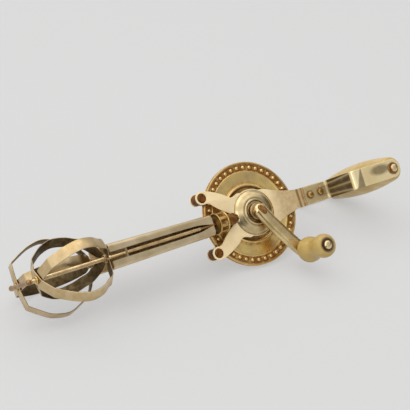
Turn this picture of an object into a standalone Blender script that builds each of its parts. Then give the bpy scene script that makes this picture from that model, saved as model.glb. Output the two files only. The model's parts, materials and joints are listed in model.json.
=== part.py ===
"""Hand crank mixer with two geared beaters, lying on its side on a table.

It is built lying along X, with the handle at +X, the crank side at -Y and Z across, and its
wheel centre at the origin. One empty then leans all of it over until it rests on its three
lowest points. Lengths below are in millimetres and the scene is in metres.
"""

import math

import bmesh
import bpy
import numpy as np
from mathutils import Matrix, Vector

MM = 0.001
FIT = 0.3  # clearance between pieces that touch or run in each other

# Drive wheel
WHEEL_RADIUS = 38.0
RIM_HALF_DEPTH = 1.9
RIM_LIP_WIDTH = 1.5
RIM_WALL = 0.6
BEAD_COUNT = 40
BEAD_CIRCLE_INSET = 4.2  # from the wheel's edge to the circle of beads
BEAD_RADIUS = 1.35
BEAD_HEIGHT = 1.8
GROOVE_FACE = 0.9
ANNULUS_FACE = 1.0
STEP_RING_RADIUS = 21.6
STEP_RING_WIDTH = 1.8
STEP_RING_FACE = 2.6
WELL_FACE = 0.6
DISC_HALF_SPLIT = 0.15
RIM_LIP_RADIUS = WHEEL_RADIUS - RIM_LIP_WIDTH
BEAD_CIRCLE = WHEEL_RADIUS - BEAD_CIRCLE_INSET

# Axle and hub
AXLE_RADIUS = 4.6
AXLE_REAR_END = 11.0
AXLE_FLANGE_RADIUS = 6.0
AXLE_FLANGE_THICKNESS = 1.2
HUB_SPACER_RADIUS = 7.6
REAR_CAP_RADIUS = 6.4
REAR_CAP_DEPTH = 2.2

# Pinions, pressed on the beater spindles
PINION_COUNT_OF_POCKETS = 8
PINION_INSET = 2.2  # from the circle of beads to the pinion's middle
PINION_OFFSET = 9.4
PINION_LENGTH = 7.6
PINION_FLANGE_RADIUS = 7.8
PINION_FLANGE_WIDTH = 1.0
PINION_DRUM_RADIUS = 7.3
POCKET_DEPTH = 1.5
PINION_CENTRE_X = PINION_INSET - BEAD_CIRCLE

# Run of the sheath, and the gap before the beaters beyond it
SHEATH_WHEEL_GAP = 0.8
SHEATH_LENGTH = 83.7
CAGE_SHEATH_GAP = 3.0
SHEATH_HIGH_X = -WHEEL_RADIUS - SHEATH_WHEEL_GAP
SHEATH_LOW_X = SHEATH_HIGH_X - SHEATH_LENGTH

# Spindles and beaters
SPINDLE_RADIUS = 1.35
BEATER_TIP_OFFSET = 16.5
BLADE_HALF_WIDTH = 3.9
BLADE_END_HALF_WIDTH = 2.2  # at the collar, where four ends meet
BLADE_THICKNESS = 0.8
CAGE_LENGTH = 51.0
CAGE_FLAT_HALF = 5.4  # half of the flat across a loop's tip
CAGE_SPLIT = 1.1  # by which the second loop crosses inside the first
FRONT_CAGE_RADIUS = 28.2
REAR_CAGE_RADIUS = 26.8
FRONT_CAGE_TURNS_DEGREES = (46.5, 152.3)  # outer and inner loop, bent a little askew
REAR_CAGE_TURNS_DEGREES = (75.8, 169.7)
FRONT_CAGE_LEAN = 0.0  # share by which the outer loop bulges more to its second side
REAR_CAGE_LEAN = 0.059
FRONT_CAGE_FULLNESS = (0.66, 0.785, 0.93, 1.0, 0.89, 0.72)  # from the collar to the nose
REAR_CAGE_FULLNESS = (0.576, 0.766, 0.878, 1.0, 0.96, 0.857)
FRONT_NOSE_RISE = 4.2
REAR_NOSE_RISE = 1.0
FRONT_NOSE_RADIUS = 15.7
REAR_NOSE_RADIUS = 16.0
REAR_TIP_BEYOND_FRONT = 2.2
EYELET_RADIUS = 3.0
EYELET_LENGTH = 1.1
HUB_RADIUS = 2.9
HUB_LENGTH = 3.2
FRONT_TIP_X = SHEATH_LOW_X - CAGE_SHEATH_GAP - CAGE_LENGTH
REAR_TIP_X = FRONT_TIP_X - REAR_TIP_BEYOND_FRONT

# Foot bar, which holds the two spindles apart beyond the beaters' tips
FOOT_BAR_RADIUS = 1.5
FOOT_BAR_EYE_RADIUS = 1.9
FOOT_BAR_PAST_SPINDLE = 1.7
SPINDLE_PIVOT_RADIUS = 0.7  # turned down end that runs in the bar's eye
EYELET_OUTER_X = REAR_TIP_X - BLADE_THICKNESS / 2 - FIT - EYELET_LENGTH
FOOT_BAR_X = EYELET_OUTER_X - FIT - FOOT_BAR_EYE_RADIUS

# Spindle bushes in the flanks of the plates' bosses
BUSH_RADIUS = 4.2
BUSH_IN_BOSS = 0.6  # by which a bush reaches in over the boss

# Front and rear plates; the rear one lies closer to the wheel
FRONT_PLATE_INNER_FACE = 5.5
REAR_PLATE_INNER_FACE = 3.2
PLATE_THICKNESS = 1.0
PLATE_HUB_RADIUS = 17.0
BOSS_BASE_RADIUS = 16.0
BOSS_TOP_RADIUS = 10.8
BOSS_TOP_FACE = 9.9
BOSS_RING_RADIUS = 9.5
BOSS_RING_HEIGHT = 0.7
BUSH_LENGTH = -PINION_CENTRE_X - PINION_LENGTH / 2 - BOSS_BASE_RADIUS + BUSH_IN_BOSS
FRONT_CLAW_END_RADIUS = 4.8
REAR_CLAW_END_RADIUS = 4.3
NECK_INNER_FACE = 0.2
NECK_HALF_WIDTH = 7.0
JOGGLE_WHEEL_GAP = 0.5
JOGGLE_LENGTH = 8.0
JOGGLE_START_X = WHEEL_RADIUS + JOGGLE_WHEEL_GAP
JOGGLE_END_X = JOGGLE_START_X + JOGGLE_LENGTH

# Posts between the claws
POST_RADIUS = 4.0
POST_WHEEL_GAP = 0.7
POST_DIRECTION = math.radians(151.75)  # seen from the wheel's middle
POST_JOURNAL_RADIUS = 3.2
POST_HEAD_PROUD = 0.5
POST_REACH = WHEEL_RADIUS + POST_RADIUS + POST_WHEEL_GAP
POST_X = POST_REACH * math.cos(POST_DIRECTION)
POST_Z = POST_REACH * math.sin(POST_DIRECTION)

# Sheath round both spindles
SHEATH_LOW_HALF_Y = 17.4
SHEATH_HIGH_HALF_Y = 12.4
SHEATH_LOW_HALF_Z = 8.9
SHEATH_HIGH_HALF_Z = 7.4
SHEATH_WALL = 0.9
SHEATH_CORNER = 2.6
SLOT_LOW_HALF_Z = 3.6
WEB_THICKNESS = 1.6
LOWER_WEB_INSET = 12.0
UPPER_WEB_INSET = 2.0

# Handle
STRAP_THICKNESS = 1.2
STRAP_HALF_WIDTH = 6.8
STRAP_BEND_RADIUS = 3.6
STRAP_JOGGLE_GAP = 2.5
GRIP_HALF_LENGTH = 38.6
GRIP_END_RADIUS = 8.8
GRIP_BULGE = 3.2
GRIP_BOLT_RADIUS = 2.0
GRIP_BOLT_HEAD_RADIUS = 3.1
GRIP_NUT_HEIGHT = 1.6
GRIP_WASHER_RADIUS = 4.6
GRIP_WASHER_THICKNESS = 0.6
RIVET_INSET = 4.4  # from a strap's end to the first rivet
RIVET_PITCH = 9.6
NECK_PAST_RIVET = 3.6
LEG_PAST_NECK = 2.5
GRIP_FROM_LEG = 35.7
RIVET_RADIUS = 1.5
RIVET_HEAD_RADIUS = 2.5
RIVET_HEAD_HEIGHT = 1.1
STRAP_START_X = JOGGLE_END_X + STRAP_JOGGLE_GAP
RIVET_POSITIONS_X = (STRAP_START_X + RIVET_INSET, STRAP_START_X + RIVET_INSET + RIVET_PITCH)
NECK_END_X = RIVET_POSITIONS_X[1] + NECK_PAST_RIVET
STRAP_LEG_X = NECK_END_X + LEG_PAST_NECK
GRIP_X = STRAP_LEG_X + GRIP_FROM_LEG

# Crank and knob
CRANK_REACH = 44.6
CRANK_ANGLE_DEGREES = -57.3
CRANK_RIVET_LENGTH = 7.6
CRANK_RIVET_WIDTH = 3.6
CRANK_ARM_HALF_WIDTH = 5.2
CRANK_ARM_HALF_DEPTH = 3.3
CRANK_ARM_OFFSET = 15.6
CRANK_PAST_KNOB = 3.0
KNOB_LENGTH = 28.0
KNOB_BASE_RADIUS = 9.3
KNOB_WAIST_RADIUS = 7.0
KNOB_OUTER_RADIUS = 8.5
KNOB_SCREW_RADIUS = 1.8
KNOB_SCREW_HEAD_RADIUS = 3.2
KNOB_SCREW_HEAD_HEIGHT = 1.4

FRONT = -1
REAR = 1
SIDE_NAMES = {FRONT: "front", REAR: "rear"}

BRASS = ("pale_brass", (0.62, 0.50, 0.27), 0.28, 1.0)
GOLD_BRASS = ("gold_brass", (0.60, 0.40, 0.13), 0.30, 1.0)
STEEL = ("aged_steel", (0.45, 0.38, 0.27), 0.35, 1.0)
BROWN = ("brown_oxide", (0.16, 0.05, 0.02), 0.50, 0.4)
CREAM = ("cream_plastic", (0.72, 0.56, 0.25), 0.35, 0.0)


def clear_scene():
    for found in list(bpy.data.objects):
        bpy.data.objects.remove(found, do_unlink=True)


def material(finish):
    name, colour, roughness, metallic = finish
    made = bpy.data.materials.get(name)
    if made is None:
        made = bpy.data.materials.new(name)
        made.use_nodes = True
        shader = made.node_tree.nodes["Principled BSDF"]
        shader.inputs["Base Color"].default_value = (*colour, 1.0)
        shader.inputs["Roughness"].default_value = roughness
        shader.inputs["Metallic"].default_value = metallic
    return made


def empty(name, location, parent, turn=0.0):
    made = bpy.data.objects.new(name, None)
    bpy.context.scene.collection.objects.link(made)
    made.parent = parent
    made.location = Vector(location) * MM
    made.rotation_euler = (0.0, 0.0, turn)
    return made


def piece(name, shape, finish, parent):
    """A mesh object from (points, faces) in millimetres, with its faces turned outwards."""
    points, faces = shape
    mesh = bpy.data.meshes.new(name)
    mesh.from_pydata([Vector(p) * MM for p in points], [], faces)
    work = bmesh.new()
    work.from_mesh(mesh)
    bmesh.ops.recalc_face_normals(work, faces=work.faces)
    work.to_mesh(mesh)
    work.free()
    mesh.materials.append(material(finish))
    mesh.shade_smooth()
    mesh.set_sharp_from_angle(angle=math.radians(35))
    made = bpy.data.objects.new(name, mesh)
    bpy.context.scene.collection.objects.link(made)
    made.parent = parent
    return made


def combine(target, name, shape, operation):
    """Joins a second shape to an object, or cuts it away, and hides the second shape."""
    tool = piece(target.name + name, shape, BRASS, target.parent)
    tool.hide_render = True
    tool.display_type = "WIRE"
    step = target.modifiers.new(name, "BOOLEAN")
    step.operation = operation
    step.solver = "EXACT"
    step.object = tool


def loft(rings, closed=False):
    """Skins rings of equal point counts; open runs get a cap at each end."""
    count = len(rings[0])
    points = [p for ring in rings for p in ring]
    faces = []
    pairs = len(rings) if closed else len(rings) - 1
    for i in range(pairs):
        low = i * count
        high = (i + 1) % len(rings) * count
        for j in range(count):
            k = (j + 1) % count
            faces.append((low + j, low + k, high + k, high + j))
    if not closed:
        faces.append(tuple(range(count)))
        faces.append(tuple(range((len(rings) - 1) * count, len(rings) * count)))
    return points, faces


def turned(profile, steps, closed=False):
    """Turns (along, radius) points round the X axis. A closed profile leaves a bore."""
    rings = []
    for along, radius in profile:
        angles = [2 * math.pi * k / steps for k in range(steps)]
        rings.append([(along, radius * math.cos(a), radius * math.sin(a)) for a in angles])
    return loft(rings, closed)


def along_y(shape, sign=1):
    """Turns a shape made along X so that it runs along Y."""
    points, faces = shape
    return [(z, sign * x, y) for x, y, z in points], faces


def moved(shape, offset):
    points, faces = shape
    return [tuple(Vector(p) + Vector(offset)) for p in points], faces


def placed(shape, matrix):
    points, faces = shape
    return [tuple(matrix @ Vector(p)) for p in points], faces


def rod(start, end, radius, steps=16):
    return turned([(start, radius), (end, radius)], steps)


def dome(base, height, radius, levels=2):
    """Profile points of a low round head that stands on base."""
    points = []
    for k in range(levels + 1):
        angle = 0.5 * math.pi * k / levels * 0.9
        points.append((base + height * math.sin(angle), radius * math.cos(angle)))
    return points


def smooth_path(points, per_span):
    """Catmull-Rom curve through design points."""
    rows = [np.array(p, float) for p in points]
    rows = [2 * rows[0] - rows[1], *rows, 2 * rows[-1] - rows[-2]]
    path = []
    for a, b, c, d in zip(rows, rows[1:], rows[2:], rows[3:]):
        for k in range(per_span):
            t = k / per_span
            path.append(
                0.5 * (2 * b + (c - a) * t + (2 * a - 5 * b + 4 * c - d) * t**2
                       + (3 * b - a - 3 * c + d) * t**3)
            )
    path.append(rows[-2])
    return path


def rounded_path(corners, radius, steps=4):
    """Straight runs with each inner corner rounded to the radius."""
    rows = [np.array(p, float) for p in corners]
    path = [rows[0]]
    for before, corner, after in zip(rows, rows[1:], rows[2:]):
        into = (corner - before) / np.linalg.norm(corner - before)
        out = (after - corner) / np.linalg.norm(after - corner)
        bend = math.acos(max(-1.0, min(1.0, float(into @ out))))
        back = radius * math.tan(bend / 2)
        start = corner - into * back
        end = corner + out * back
        for k in range(steps + 1):
            t = k / steps
            path.append((1 - t) ** 2 * start + 2 * t * (1 - t) * corner + t**2 * end)
    path.append(rows[-1])
    return path


def strip(path, half_widths, thickness):
    """A flat bar along a path in the XY plane, its width along Z."""
    rings = []
    for i, here in enumerate(path):
        before = path[max(i - 1, 0)]
        after = path[min(i + 1, len(path) - 1)]
        into = here - before if i else after - here
        out = after - here if i < len(path) - 1 else into
        into = into / np.linalg.norm(into)
        out = out / np.linalg.norm(out)
        run = into + out
        run = run / np.linalg.norm(run)
        normal = np.array([-run[1], run[0]]) / max(0.5, float(run @ into))
        low = here - normal * thickness / 2
        high = here + normal * thickness / 2
        w = half_widths[i]
        rings.append([(*low, -w), (*high, -w), (*high, w), (*low, w)])
    return loft(rings)


def prism(outline, low, high):
    """An XZ outline raised along Y."""
    return loft([[(x, low, z) for x, z in outline], [(x, high, z) for x, z in outline]])


def arc(centre, radius, start, end, steps):
    angles = [math.radians(start + (end - start) * k / steps) for k in range(steps + 1)]
    return [(centre[0] + radius * math.cos(a), centre[1] + radius * math.sin(a)) for a in angles]


def spindle_splay():
    """Angle by which each spindle leans away from the wheel's plane."""
    return math.atan2(BEATER_TIP_OFFSET - PINION_OFFSET, PINION_CENTRE_X - FRONT_TIP_X)


def spindle_reach(side):
    """From the pinion's middle to the beater's tip, along the spindle."""
    return -spindle_run(FRONT_TIP_X if side == FRONT else REAR_TIP_X)


def spindle_run(x):
    """Where a place along the mixer lies on a spindle's own line."""
    return (x - PINION_CENTRE_X) / math.cos(spindle_splay())


def spindle_matrix(side):
    """From a spindle's own frame, pinion centre at zero and X towards the handle."""
    place = Matrix.Translation((PINION_CENTRE_X, side * PINION_OFFSET, 0.0))
    return place @ Matrix.Rotation(-side * spindle_splay(), 4, "Z")


def wheel_disc(side):
    """One pressed face of the wheel, with its ring of beads, in the wheel's own frame."""
    half_pitch = math.pi / BEAD_COUNT
    band_in = BEAD_CIRCLE - BEAD_RADIUS - 0.3
    band_out = BEAD_CIRCLE + BEAD_RADIUS + 0.3
    edge = WHEEL_RADIUS - RIM_WALL - 2 * FIT
    step_in = STEP_RING_RADIUS - STEP_RING_WIDTH
    profile = [
        (band_out, GROOVE_FACE),
        (edge, GROOVE_FACE),
        (edge, DISC_HALF_SPLIT),
        (AXLE_RADIUS + FIT, DISC_HALF_SPLIT),
        (AXLE_RADIUS + FIT, WELL_FACE),
        (step_in - 0.8, WELL_FACE),
        (step_in, STEP_RING_FACE),
        (STEP_RING_RADIUS, STEP_RING_FACE),
        (STEP_RING_RADIUS + 0.8, ANNULUS_FACE),
        (band_in - 0.5, ANNULUS_FACE),
        (band_in, GROOVE_FACE),
    ]
    points = []
    for radius, face in profile:
        for k in range(BEAD_COUNT):
            angle = (2 * k + 1) * half_pitch
            points.append((radius * math.cos(angle), side * face, radius * math.sin(angle)))
    faces = []
    for i in range(len(profile) - 1):
        for k in range(BEAD_COUNT):
            n = (k + 1) % BEAD_COUNT
            low = i * BEAD_COUNT
            faces.append((low + k, low + n, low + BEAD_COUNT + n, low + BEAD_COUNT + k))
    inner = (len(profile) - 1) * BEAD_COUNT
    levels = ((BEAD_RADIUS, 0.0), (0.75 * BEAD_RADIUS, 0.62 * BEAD_HEIGHT))
    for k in range(BEAD_COUNT):
        before = (k - 1) % BEAD_COUNT
        angle = 2 * k * half_pitch
        start = len(points)
        for radius, height in levels:
            for j in range(8):
                turn = math.radians(22.5 + 45 * j)
                out = BEAD_CIRCLE + radius * math.cos(turn)
                across = radius * math.sin(turn)
                points.append((
                    out * math.cos(angle) - across * math.sin(angle),
                    side * (GROOVE_FACE + height),
                    out * math.sin(angle) + across * math.cos(angle),
                ))
        crown = len(points)
        points.append((BEAD_CIRCLE * math.cos(angle), side * (GROOVE_FACE + BEAD_HEIGHT),
                       BEAD_CIRCLE * math.sin(angle)))
        corners = (k, inner + k, inner + before, before)
        for j in range(8):
            n = (j + 1) % 8
            faces.append((start + j, start + n, start + 8 + n, start + 8 + j))
            faces.append((start + 8 + j, start + 8 + n, crown))
        for j, corner in enumerate(corners):
            faces.append((start + 2 * j, start + 2 * j + 1, corners[j]))
            faces.append((start + 2 * j + 1, start + (2 * j + 2) % 8, corners[(j + 1) % 4], corner))
    return points, faces


def wheel_pieces(axis):
    for side in (FRONT, REAR):
        piece(f"wheel_disc_{SIDE_NAMES[side]}", wheel_disc(side), BRASS, axis)
    lip = RIM_HALF_DEPTH
    groove = GROOVE_FACE + FIT
    floor = WHEEL_RADIUS - RIM_WALL
    rim = [(-lip, RIM_LIP_RADIUS), (-lip, WHEEL_RADIUS), (lip, WHEEL_RADIUS), (lip, RIM_LIP_RADIUS),
           (groove, RIM_LIP_RADIUS), (groove, floor), (-groove, floor), (-groove, RIM_LIP_RADIUS)]
    piece("wheel_rim", along_y(turned(rim, 64, closed=True)), GOLD_BRASS, axis)
    flange = CRANK_ARM_OFFSET - CRANK_ARM_HALF_DEPTH - FIT
    axle = turned([(-AXLE_REAR_END, AXLE_RADIUS), (flange - AXLE_FLANGE_THICKNESS, AXLE_RADIUS),
                   (flange - AXLE_FLANGE_THICKNESS, AXLE_FLANGE_RADIUS),
                   (flange, AXLE_FLANGE_RADIUS)], 24)
    piece("drive_axle", along_y(axle, FRONT), STEEL, axis)
    for side in (FRONT, REAR):
        low = WELL_FACE + FIT
        high = BOSS_TOP_FACE - PLATE_THICKNESS - FIT
        bore = AXLE_RADIUS + FIT
        ring = [(low, bore), (low, HUB_SPACER_RADIUS), (high, HUB_SPACER_RADIUS), (high, bore)]
        name = f"hub_spacer_{SIDE_NAMES[side]}"
        piece(name, along_y(turned(ring, 24, closed=True), side), BROWN, axis)
    base = AXLE_REAR_END + FIT
    cap = [(base, REAR_CAP_RADIUS)] + dome(base + 0.4, REAR_CAP_DEPTH - 0.4, REAR_CAP_RADIUS)
    piece("rear_axle_cap", along_y(turned(cap, 24), REAR), STEEL, axis)


def crank_pieces(axis):
    """The pressed arm, the pin riveted through it, and the screw that the knob turns on."""
    angle = math.radians(CRANK_ANGLE_DEGREES)
    reach = Vector((math.cos(angle), 0.0, math.sin(angle)))
    out = Vector((0.0, -1.0, 0.0))
    across = reach.cross(out)
    start = -CRANK_ARM_HALF_WIDTH
    end = CRANK_REACH + CRANK_PAST_KNOB
    stations = []
    for k in range(6):
        share = math.sin(0.5 * math.pi * (k + 0.35) / 5.35)
        stations.append((start * share, math.sqrt(1.001 - share * share)))
    stations = stations[::-1] + [(end + start - along, size) for along, size in stations]
    rings = []
    for along, size in stations:
        centre = reach * along + out * CRANK_ARM_OFFSET
        ring = []
        for k in range(16):
            turn = 2 * math.pi * k / 16
            ring.append(tuple(centre + out * math.cos(turn) * CRANK_ARM_HALF_DEPTH * size
                              + across * math.sin(turn) * CRANK_ARM_HALF_WIDTH * size))
        rings.append(ring)
    arm = piece("crank_arm", loft(rings), BRASS, axis)
    knob_at = reach * CRANK_REACH
    hole = rod(CRANK_ARM_OFFSET - CRANK_ARM_HALF_DEPTH - 1.0, CRANK_ARM_OFFSET
               + CRANK_ARM_HALF_DEPTH + 1.0, KNOB_SCREW_RADIUS + FIT, 16)
    combine(arm, "_screw_hole", moved(along_y(hole, FRONT), knob_at), "DIFFERENCE")
    half = CRANK_RIVET_LENGTH / 2 - CRANK_RIVET_WIDTH / 2
    for name, grow in (("", 0.0), ("_rivet_hole", FIT)):
        radius = CRANK_RIVET_WIDTH / 2 + grow
        outline = arc((half, 0.0), radius, -90, 90, 5) + arc((-half, 0.0), radius, 90, 270, 5)
        outline = [(x * math.cos(angle) - z * math.sin(angle),
                    x * math.sin(angle) + z * math.cos(angle)) for x, z in outline]
        low = -(CRANK_ARM_OFFSET - CRANK_ARM_HALF_DEPTH) + grow * 2
        high = -(CRANK_ARM_OFFSET + CRANK_ARM_HALF_DEPTH + 0.3) - grow * 2
        if name:
            combine(arm, name, prism(outline, low, high), "DIFFERENCE")
        else:
            piece("crank_rivet", prism(outline, low, high), BROWN, axis)
    knob_base = CRANK_ARM_OFFSET + CRANK_ARM_HALF_DEPTH + FIT
    knob_top = knob_base + KNOB_LENGTH
    back = CRANK_ARM_OFFSET - CRANK_ARM_HALF_DEPTH - FIT
    screw = [(back - 1.0, KNOB_SCREW_RADIUS + 1.2), (back, KNOB_SCREW_RADIUS + 1.2),
             (back, KNOB_SCREW_RADIUS), (knob_top + FIT, KNOB_SCREW_RADIUS),
             *dome(knob_top + FIT, KNOB_SCREW_HEAD_HEIGHT, KNOB_SCREW_HEAD_RADIUS)]
    piece("knob_screw", moved(along_y(turned(screw, 16), FRONT), knob_at), BRASS, axis)
    turn_axis = empty("knob_axis", knob_at, axis)
    shape = [(0.0, KNOB_BASE_RADIUS - 1.6), (0.06, KNOB_BASE_RADIUS - 0.5), (0.18, KNOB_BASE_RADIUS),
             (0.32, KNOB_BASE_RADIUS - 0.6), (0.48, KNOB_WAIST_RADIUS), (0.62, KNOB_WAIST_RADIUS + 0.5),
             (0.80, KNOB_OUTER_RADIUS), (0.94, KNOB_OUTER_RADIUS - 0.7),
             (1.0, KNOB_OUTER_RADIUS - 2.4)]
    bore = KNOB_SCREW_RADIUS + FIT
    profile = [(knob_base, bore)]
    profile += [(knob_base + share * KNOB_LENGTH, radius) for share, radius in shape]
    profile += [(knob_top, bore)]
    piece("knob", along_y(turned(profile, 24, closed=True), FRONT), CREAM, turn_axis)


def pinion():
    """A flanged drum with a row of pockets for the wheel's beads."""
    steps = PINION_COUNT_OF_POCKETS * 5
    half = PINION_LENGTH / 2
    rings = []
    for along, plain in ((-half, True), (-half + PINION_FLANGE_WIDTH, True),
                         (-half + PINION_FLANGE_WIDTH, False), (half - PINION_FLANGE_WIDTH, False),
                         (half - PINION_FLANGE_WIDTH, True), (half, True)):
        ring = []
        for k in range(steps):
            angle = 2 * math.pi * k / steps
            dip = max(0.0, math.cos(PINION_COUNT_OF_POCKETS * angle) + 0.35) / 1.35
            radius = PINION_FLANGE_RADIUS if plain else PINION_DRUM_RADIUS - POCKET_DEPTH * dip**0.6
            ring.append((along, radius * math.cos(angle), radius * math.sin(angle)))
        rings.append(ring)
    for along in (half, -half):
        bore = SPINDLE_RADIUS + FIT
        rings.append([(along, bore * math.cos(2 * math.pi * k / steps),
                       bore * math.sin(2 * math.pi * k / steps)) for k in range(steps)])
    return loft(rings, closed=True)


def loop_profile(side, size):
    """Half of a loop, from the collar round the bulge to the bend at the nose."""
    wide = (FRONT_CAGE_RADIUS if side == FRONT else REAR_CAGE_RADIUS) * size
    fullness = FRONT_CAGE_FULLNESS if side == FRONT else REAR_CAGE_FULLNESS
    extra = 0.0 if side == FRONT else REAR_TIP_BEYOND_FRONT
    top = CAGE_LENGTH + extra
    ends = HUB_RADIUS + FIT + BLADE_THICKNESS / 2
    profile = [(top - 0.1, ends), (top - 1.8, ends + 4.0)]
    for along, out in zip((0.882, 0.784, 0.667, 0.49, 0.314, 0.186), fullness):
        profile.append((along * CAGE_LENGTH + extra, out * wide))
    if side == FRONT:
        profile.append((FRONT_NOSE_RISE, FRONT_NOSE_RADIUS))
    else:
        profile.append((REAR_NOSE_RISE, REAR_NOSE_RADIUS))
    return smooth_path(profile, 2)


def blade_half_width(radius):
    """Full width round the bulge, narrowing to the ends at the collar."""
    ends = HUB_RADIUS + FIT + BLADE_THICKNESS / 2
    return min(BLADE_HALF_WIDTH, BLADE_END_HALF_WIDTH + 0.45 * (radius - ends))


def beater_loop(side, inward, turn, lean):
    """One flat strip bent into a loop through the spindle's line, in the spindle's own frame."""
    tip = spindle_reach(side)
    halves = []
    for size in (1.0 - lean, 1.0 + lean):
        halves.append([(along - tip + inward * max(0.0, 1.0 - 2 * along / CAGE_LENGTH), radius)
                       for along, radius in loop_profile(side, size)])
    first, second = halves
    path = first + [(inward - tip, CAGE_FLAT_HALF), (inward - tip, -CAGE_FLAT_HALF)]
    path += [(along, -radius) for along, radius in reversed(second)]
    widths = [blade_half_width(radius) for _, radius in first] + [BLADE_HALF_WIDTH] * 2
    widths += [blade_half_width(radius) for _, radius in reversed(second)]
    shape = strip([np.array(p, float) for p in path], widths, BLADE_THICKNESS)
    return placed(shape, Matrix.Rotation(turn, 4, "X"))


def beater_pieces(side, spin):
    name = SIDE_NAMES[side]
    tip = spindle_reach(side)
    end = spindle_run(FOOT_BAR_X + FIT)
    shoulder = spindle_run(EYELET_OUTER_X)
    profile = [(end, SPINDLE_PIVOT_RADIUS - 0.2), (end + 0.2, SPINDLE_PIVOT_RADIUS),
               (shoulder, SPINDLE_PIVOT_RADIUS), (shoulder, SPINDLE_RADIUS),
               (PINION_LENGTH / 2 + FIT + BUSH_LENGTH, SPINDLE_RADIUS)]
    piece(f"spindle_{name}", turned(profile, 16), STEEL, spin)
    piece(f"pinion_{name}", pinion(), GOLD_BRASS, spin)
    turns = FRONT_CAGE_TURNS_DEGREES if side == FRONT else REAR_CAGE_TURNS_DEGREES
    leans = (FRONT_CAGE_LEAN if side == FRONT else REAR_CAGE_LEAN, 0.0)
    hole = rod(-tip - 6.0, -tip + 6.0, SPINDLE_RADIUS + FIT, 12)
    for k, letter in enumerate("ab"):
        shape = beater_loop(side, k * CAGE_SPLIT, math.radians(turns[k]), leans[k])
        loop = piece(f"beater_{name}_loop_{letter}", shape, STEEL, spin)
        combine(loop, "_hole", hole, "DIFFERENCE")
    bore = SPINDLE_RADIUS + FIT
    outside = -tip - BLADE_THICKNESS / 2 - FIT
    eyelet = [(outside - EYELET_LENGTH, bore), (outside - EYELET_LENGTH, EYELET_RADIUS - 0.7),
              (outside - 0.3, EYELET_RADIUS), (outside, EYELET_RADIUS), (outside, bore)]
    piece(f"tip_eyelet_{name}", turned(eyelet, 20, closed=True), GOLD_BRASS, spin)
    low = CAGE_LENGTH - spindle_reach(FRONT) - 1.4
    hub = [(low, bore), (low, HUB_RADIUS), (low + HUB_LENGTH, HUB_RADIUS), (low + HUB_LENGTH, bore)]
    piece(f"beater_hub_{name}", turned(hub, 20, closed=True), STEEL, spin)


def foot_bar_piece(root):
    past = FOOT_BAR_PAST_SPINDLE
    middle = PINION_OFFSET + (PINION_CENTRE_X - FOOT_BAR_X) * math.tan(spindle_splay())
    half = [(middle + past, 0.5 * FOOT_BAR_EYE_RADIUS), (middle + 0.7 * past, 0.87 * FOOT_BAR_EYE_RADIUS),
            (middle, FOOT_BAR_EYE_RADIUS), (middle - past, FOOT_BAR_EYE_RADIUS),
            (middle - 2 * past, FOOT_BAR_RADIUS)]
    profile = [(-y, radius) for y, radius in half] + half[::-1]
    bar = piece("foot_bar", moved(along_y(turned(profile, 16)), (FOOT_BAR_X, 0.0, 0.0)), STEEL, root)
    for side in (FRONT, REAR):
        socket = rod(spindle_run(FOOT_BAR_X), spindle_run(FOOT_BAR_X + 2 * FOOT_BAR_EYE_RADIUS),
                     SPINDLE_PIVOT_RADIUS + FIT, 12)
        combine(bar, f"_socket_{SIDE_NAMES[side]}", placed(socket, spindle_matrix(side)), "DIFFERENCE")


def plate_outline(claw_end):
    """Hub, two claws and the tail, seen from the crank side, as (x, z)."""
    claw_outer = smooth_path([(-8.9, 16.4), (-14.7, 14.9), (POST_X + 17.6, POST_Z - 1.9),
                              (POST_X + 10.4, POST_Z + 1.9), (POST_X + 4.6, POST_Z + 4.1)], 3)
    claw_inner = smooth_path([(POST_X + 4.4, POST_Z - 4.9), (POST_X + 8.8, POST_Z - 9.2),
                              (POST_X + 13.4, POST_Z - 12.9), (-19.2, 3.8), (-17.4, 0.0)], 3)
    tail = smooth_path([(JOGGLE_START_X - 5.5, NECK_HALF_WIDTH + 1.0),
                        (JOGGLE_START_X - 12.5, NECK_HALF_WIDTH + 2.7),
                        (JOGGLE_START_X - 19.0, NECK_HALF_WIDTH + 4.8), (14.0, 13.9)], 2)
    half = [(JOGGLE_START_X, NECK_HALF_WIDTH)]
    half += [tuple(p) for p in tail]
    half += arc((0.0, 0.0), PLATE_HUB_RADIUS, 60, 110, 7)
    half += [tuple(p) for p in claw_outer]
    half += arc((POST_X, POST_Z), claw_end, 88, 290, 12)
    half += [tuple(p) for p in claw_inner]
    mirrored = [(x, -z) for x, z in reversed(half[:-1])]
    return half + mirrored


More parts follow.
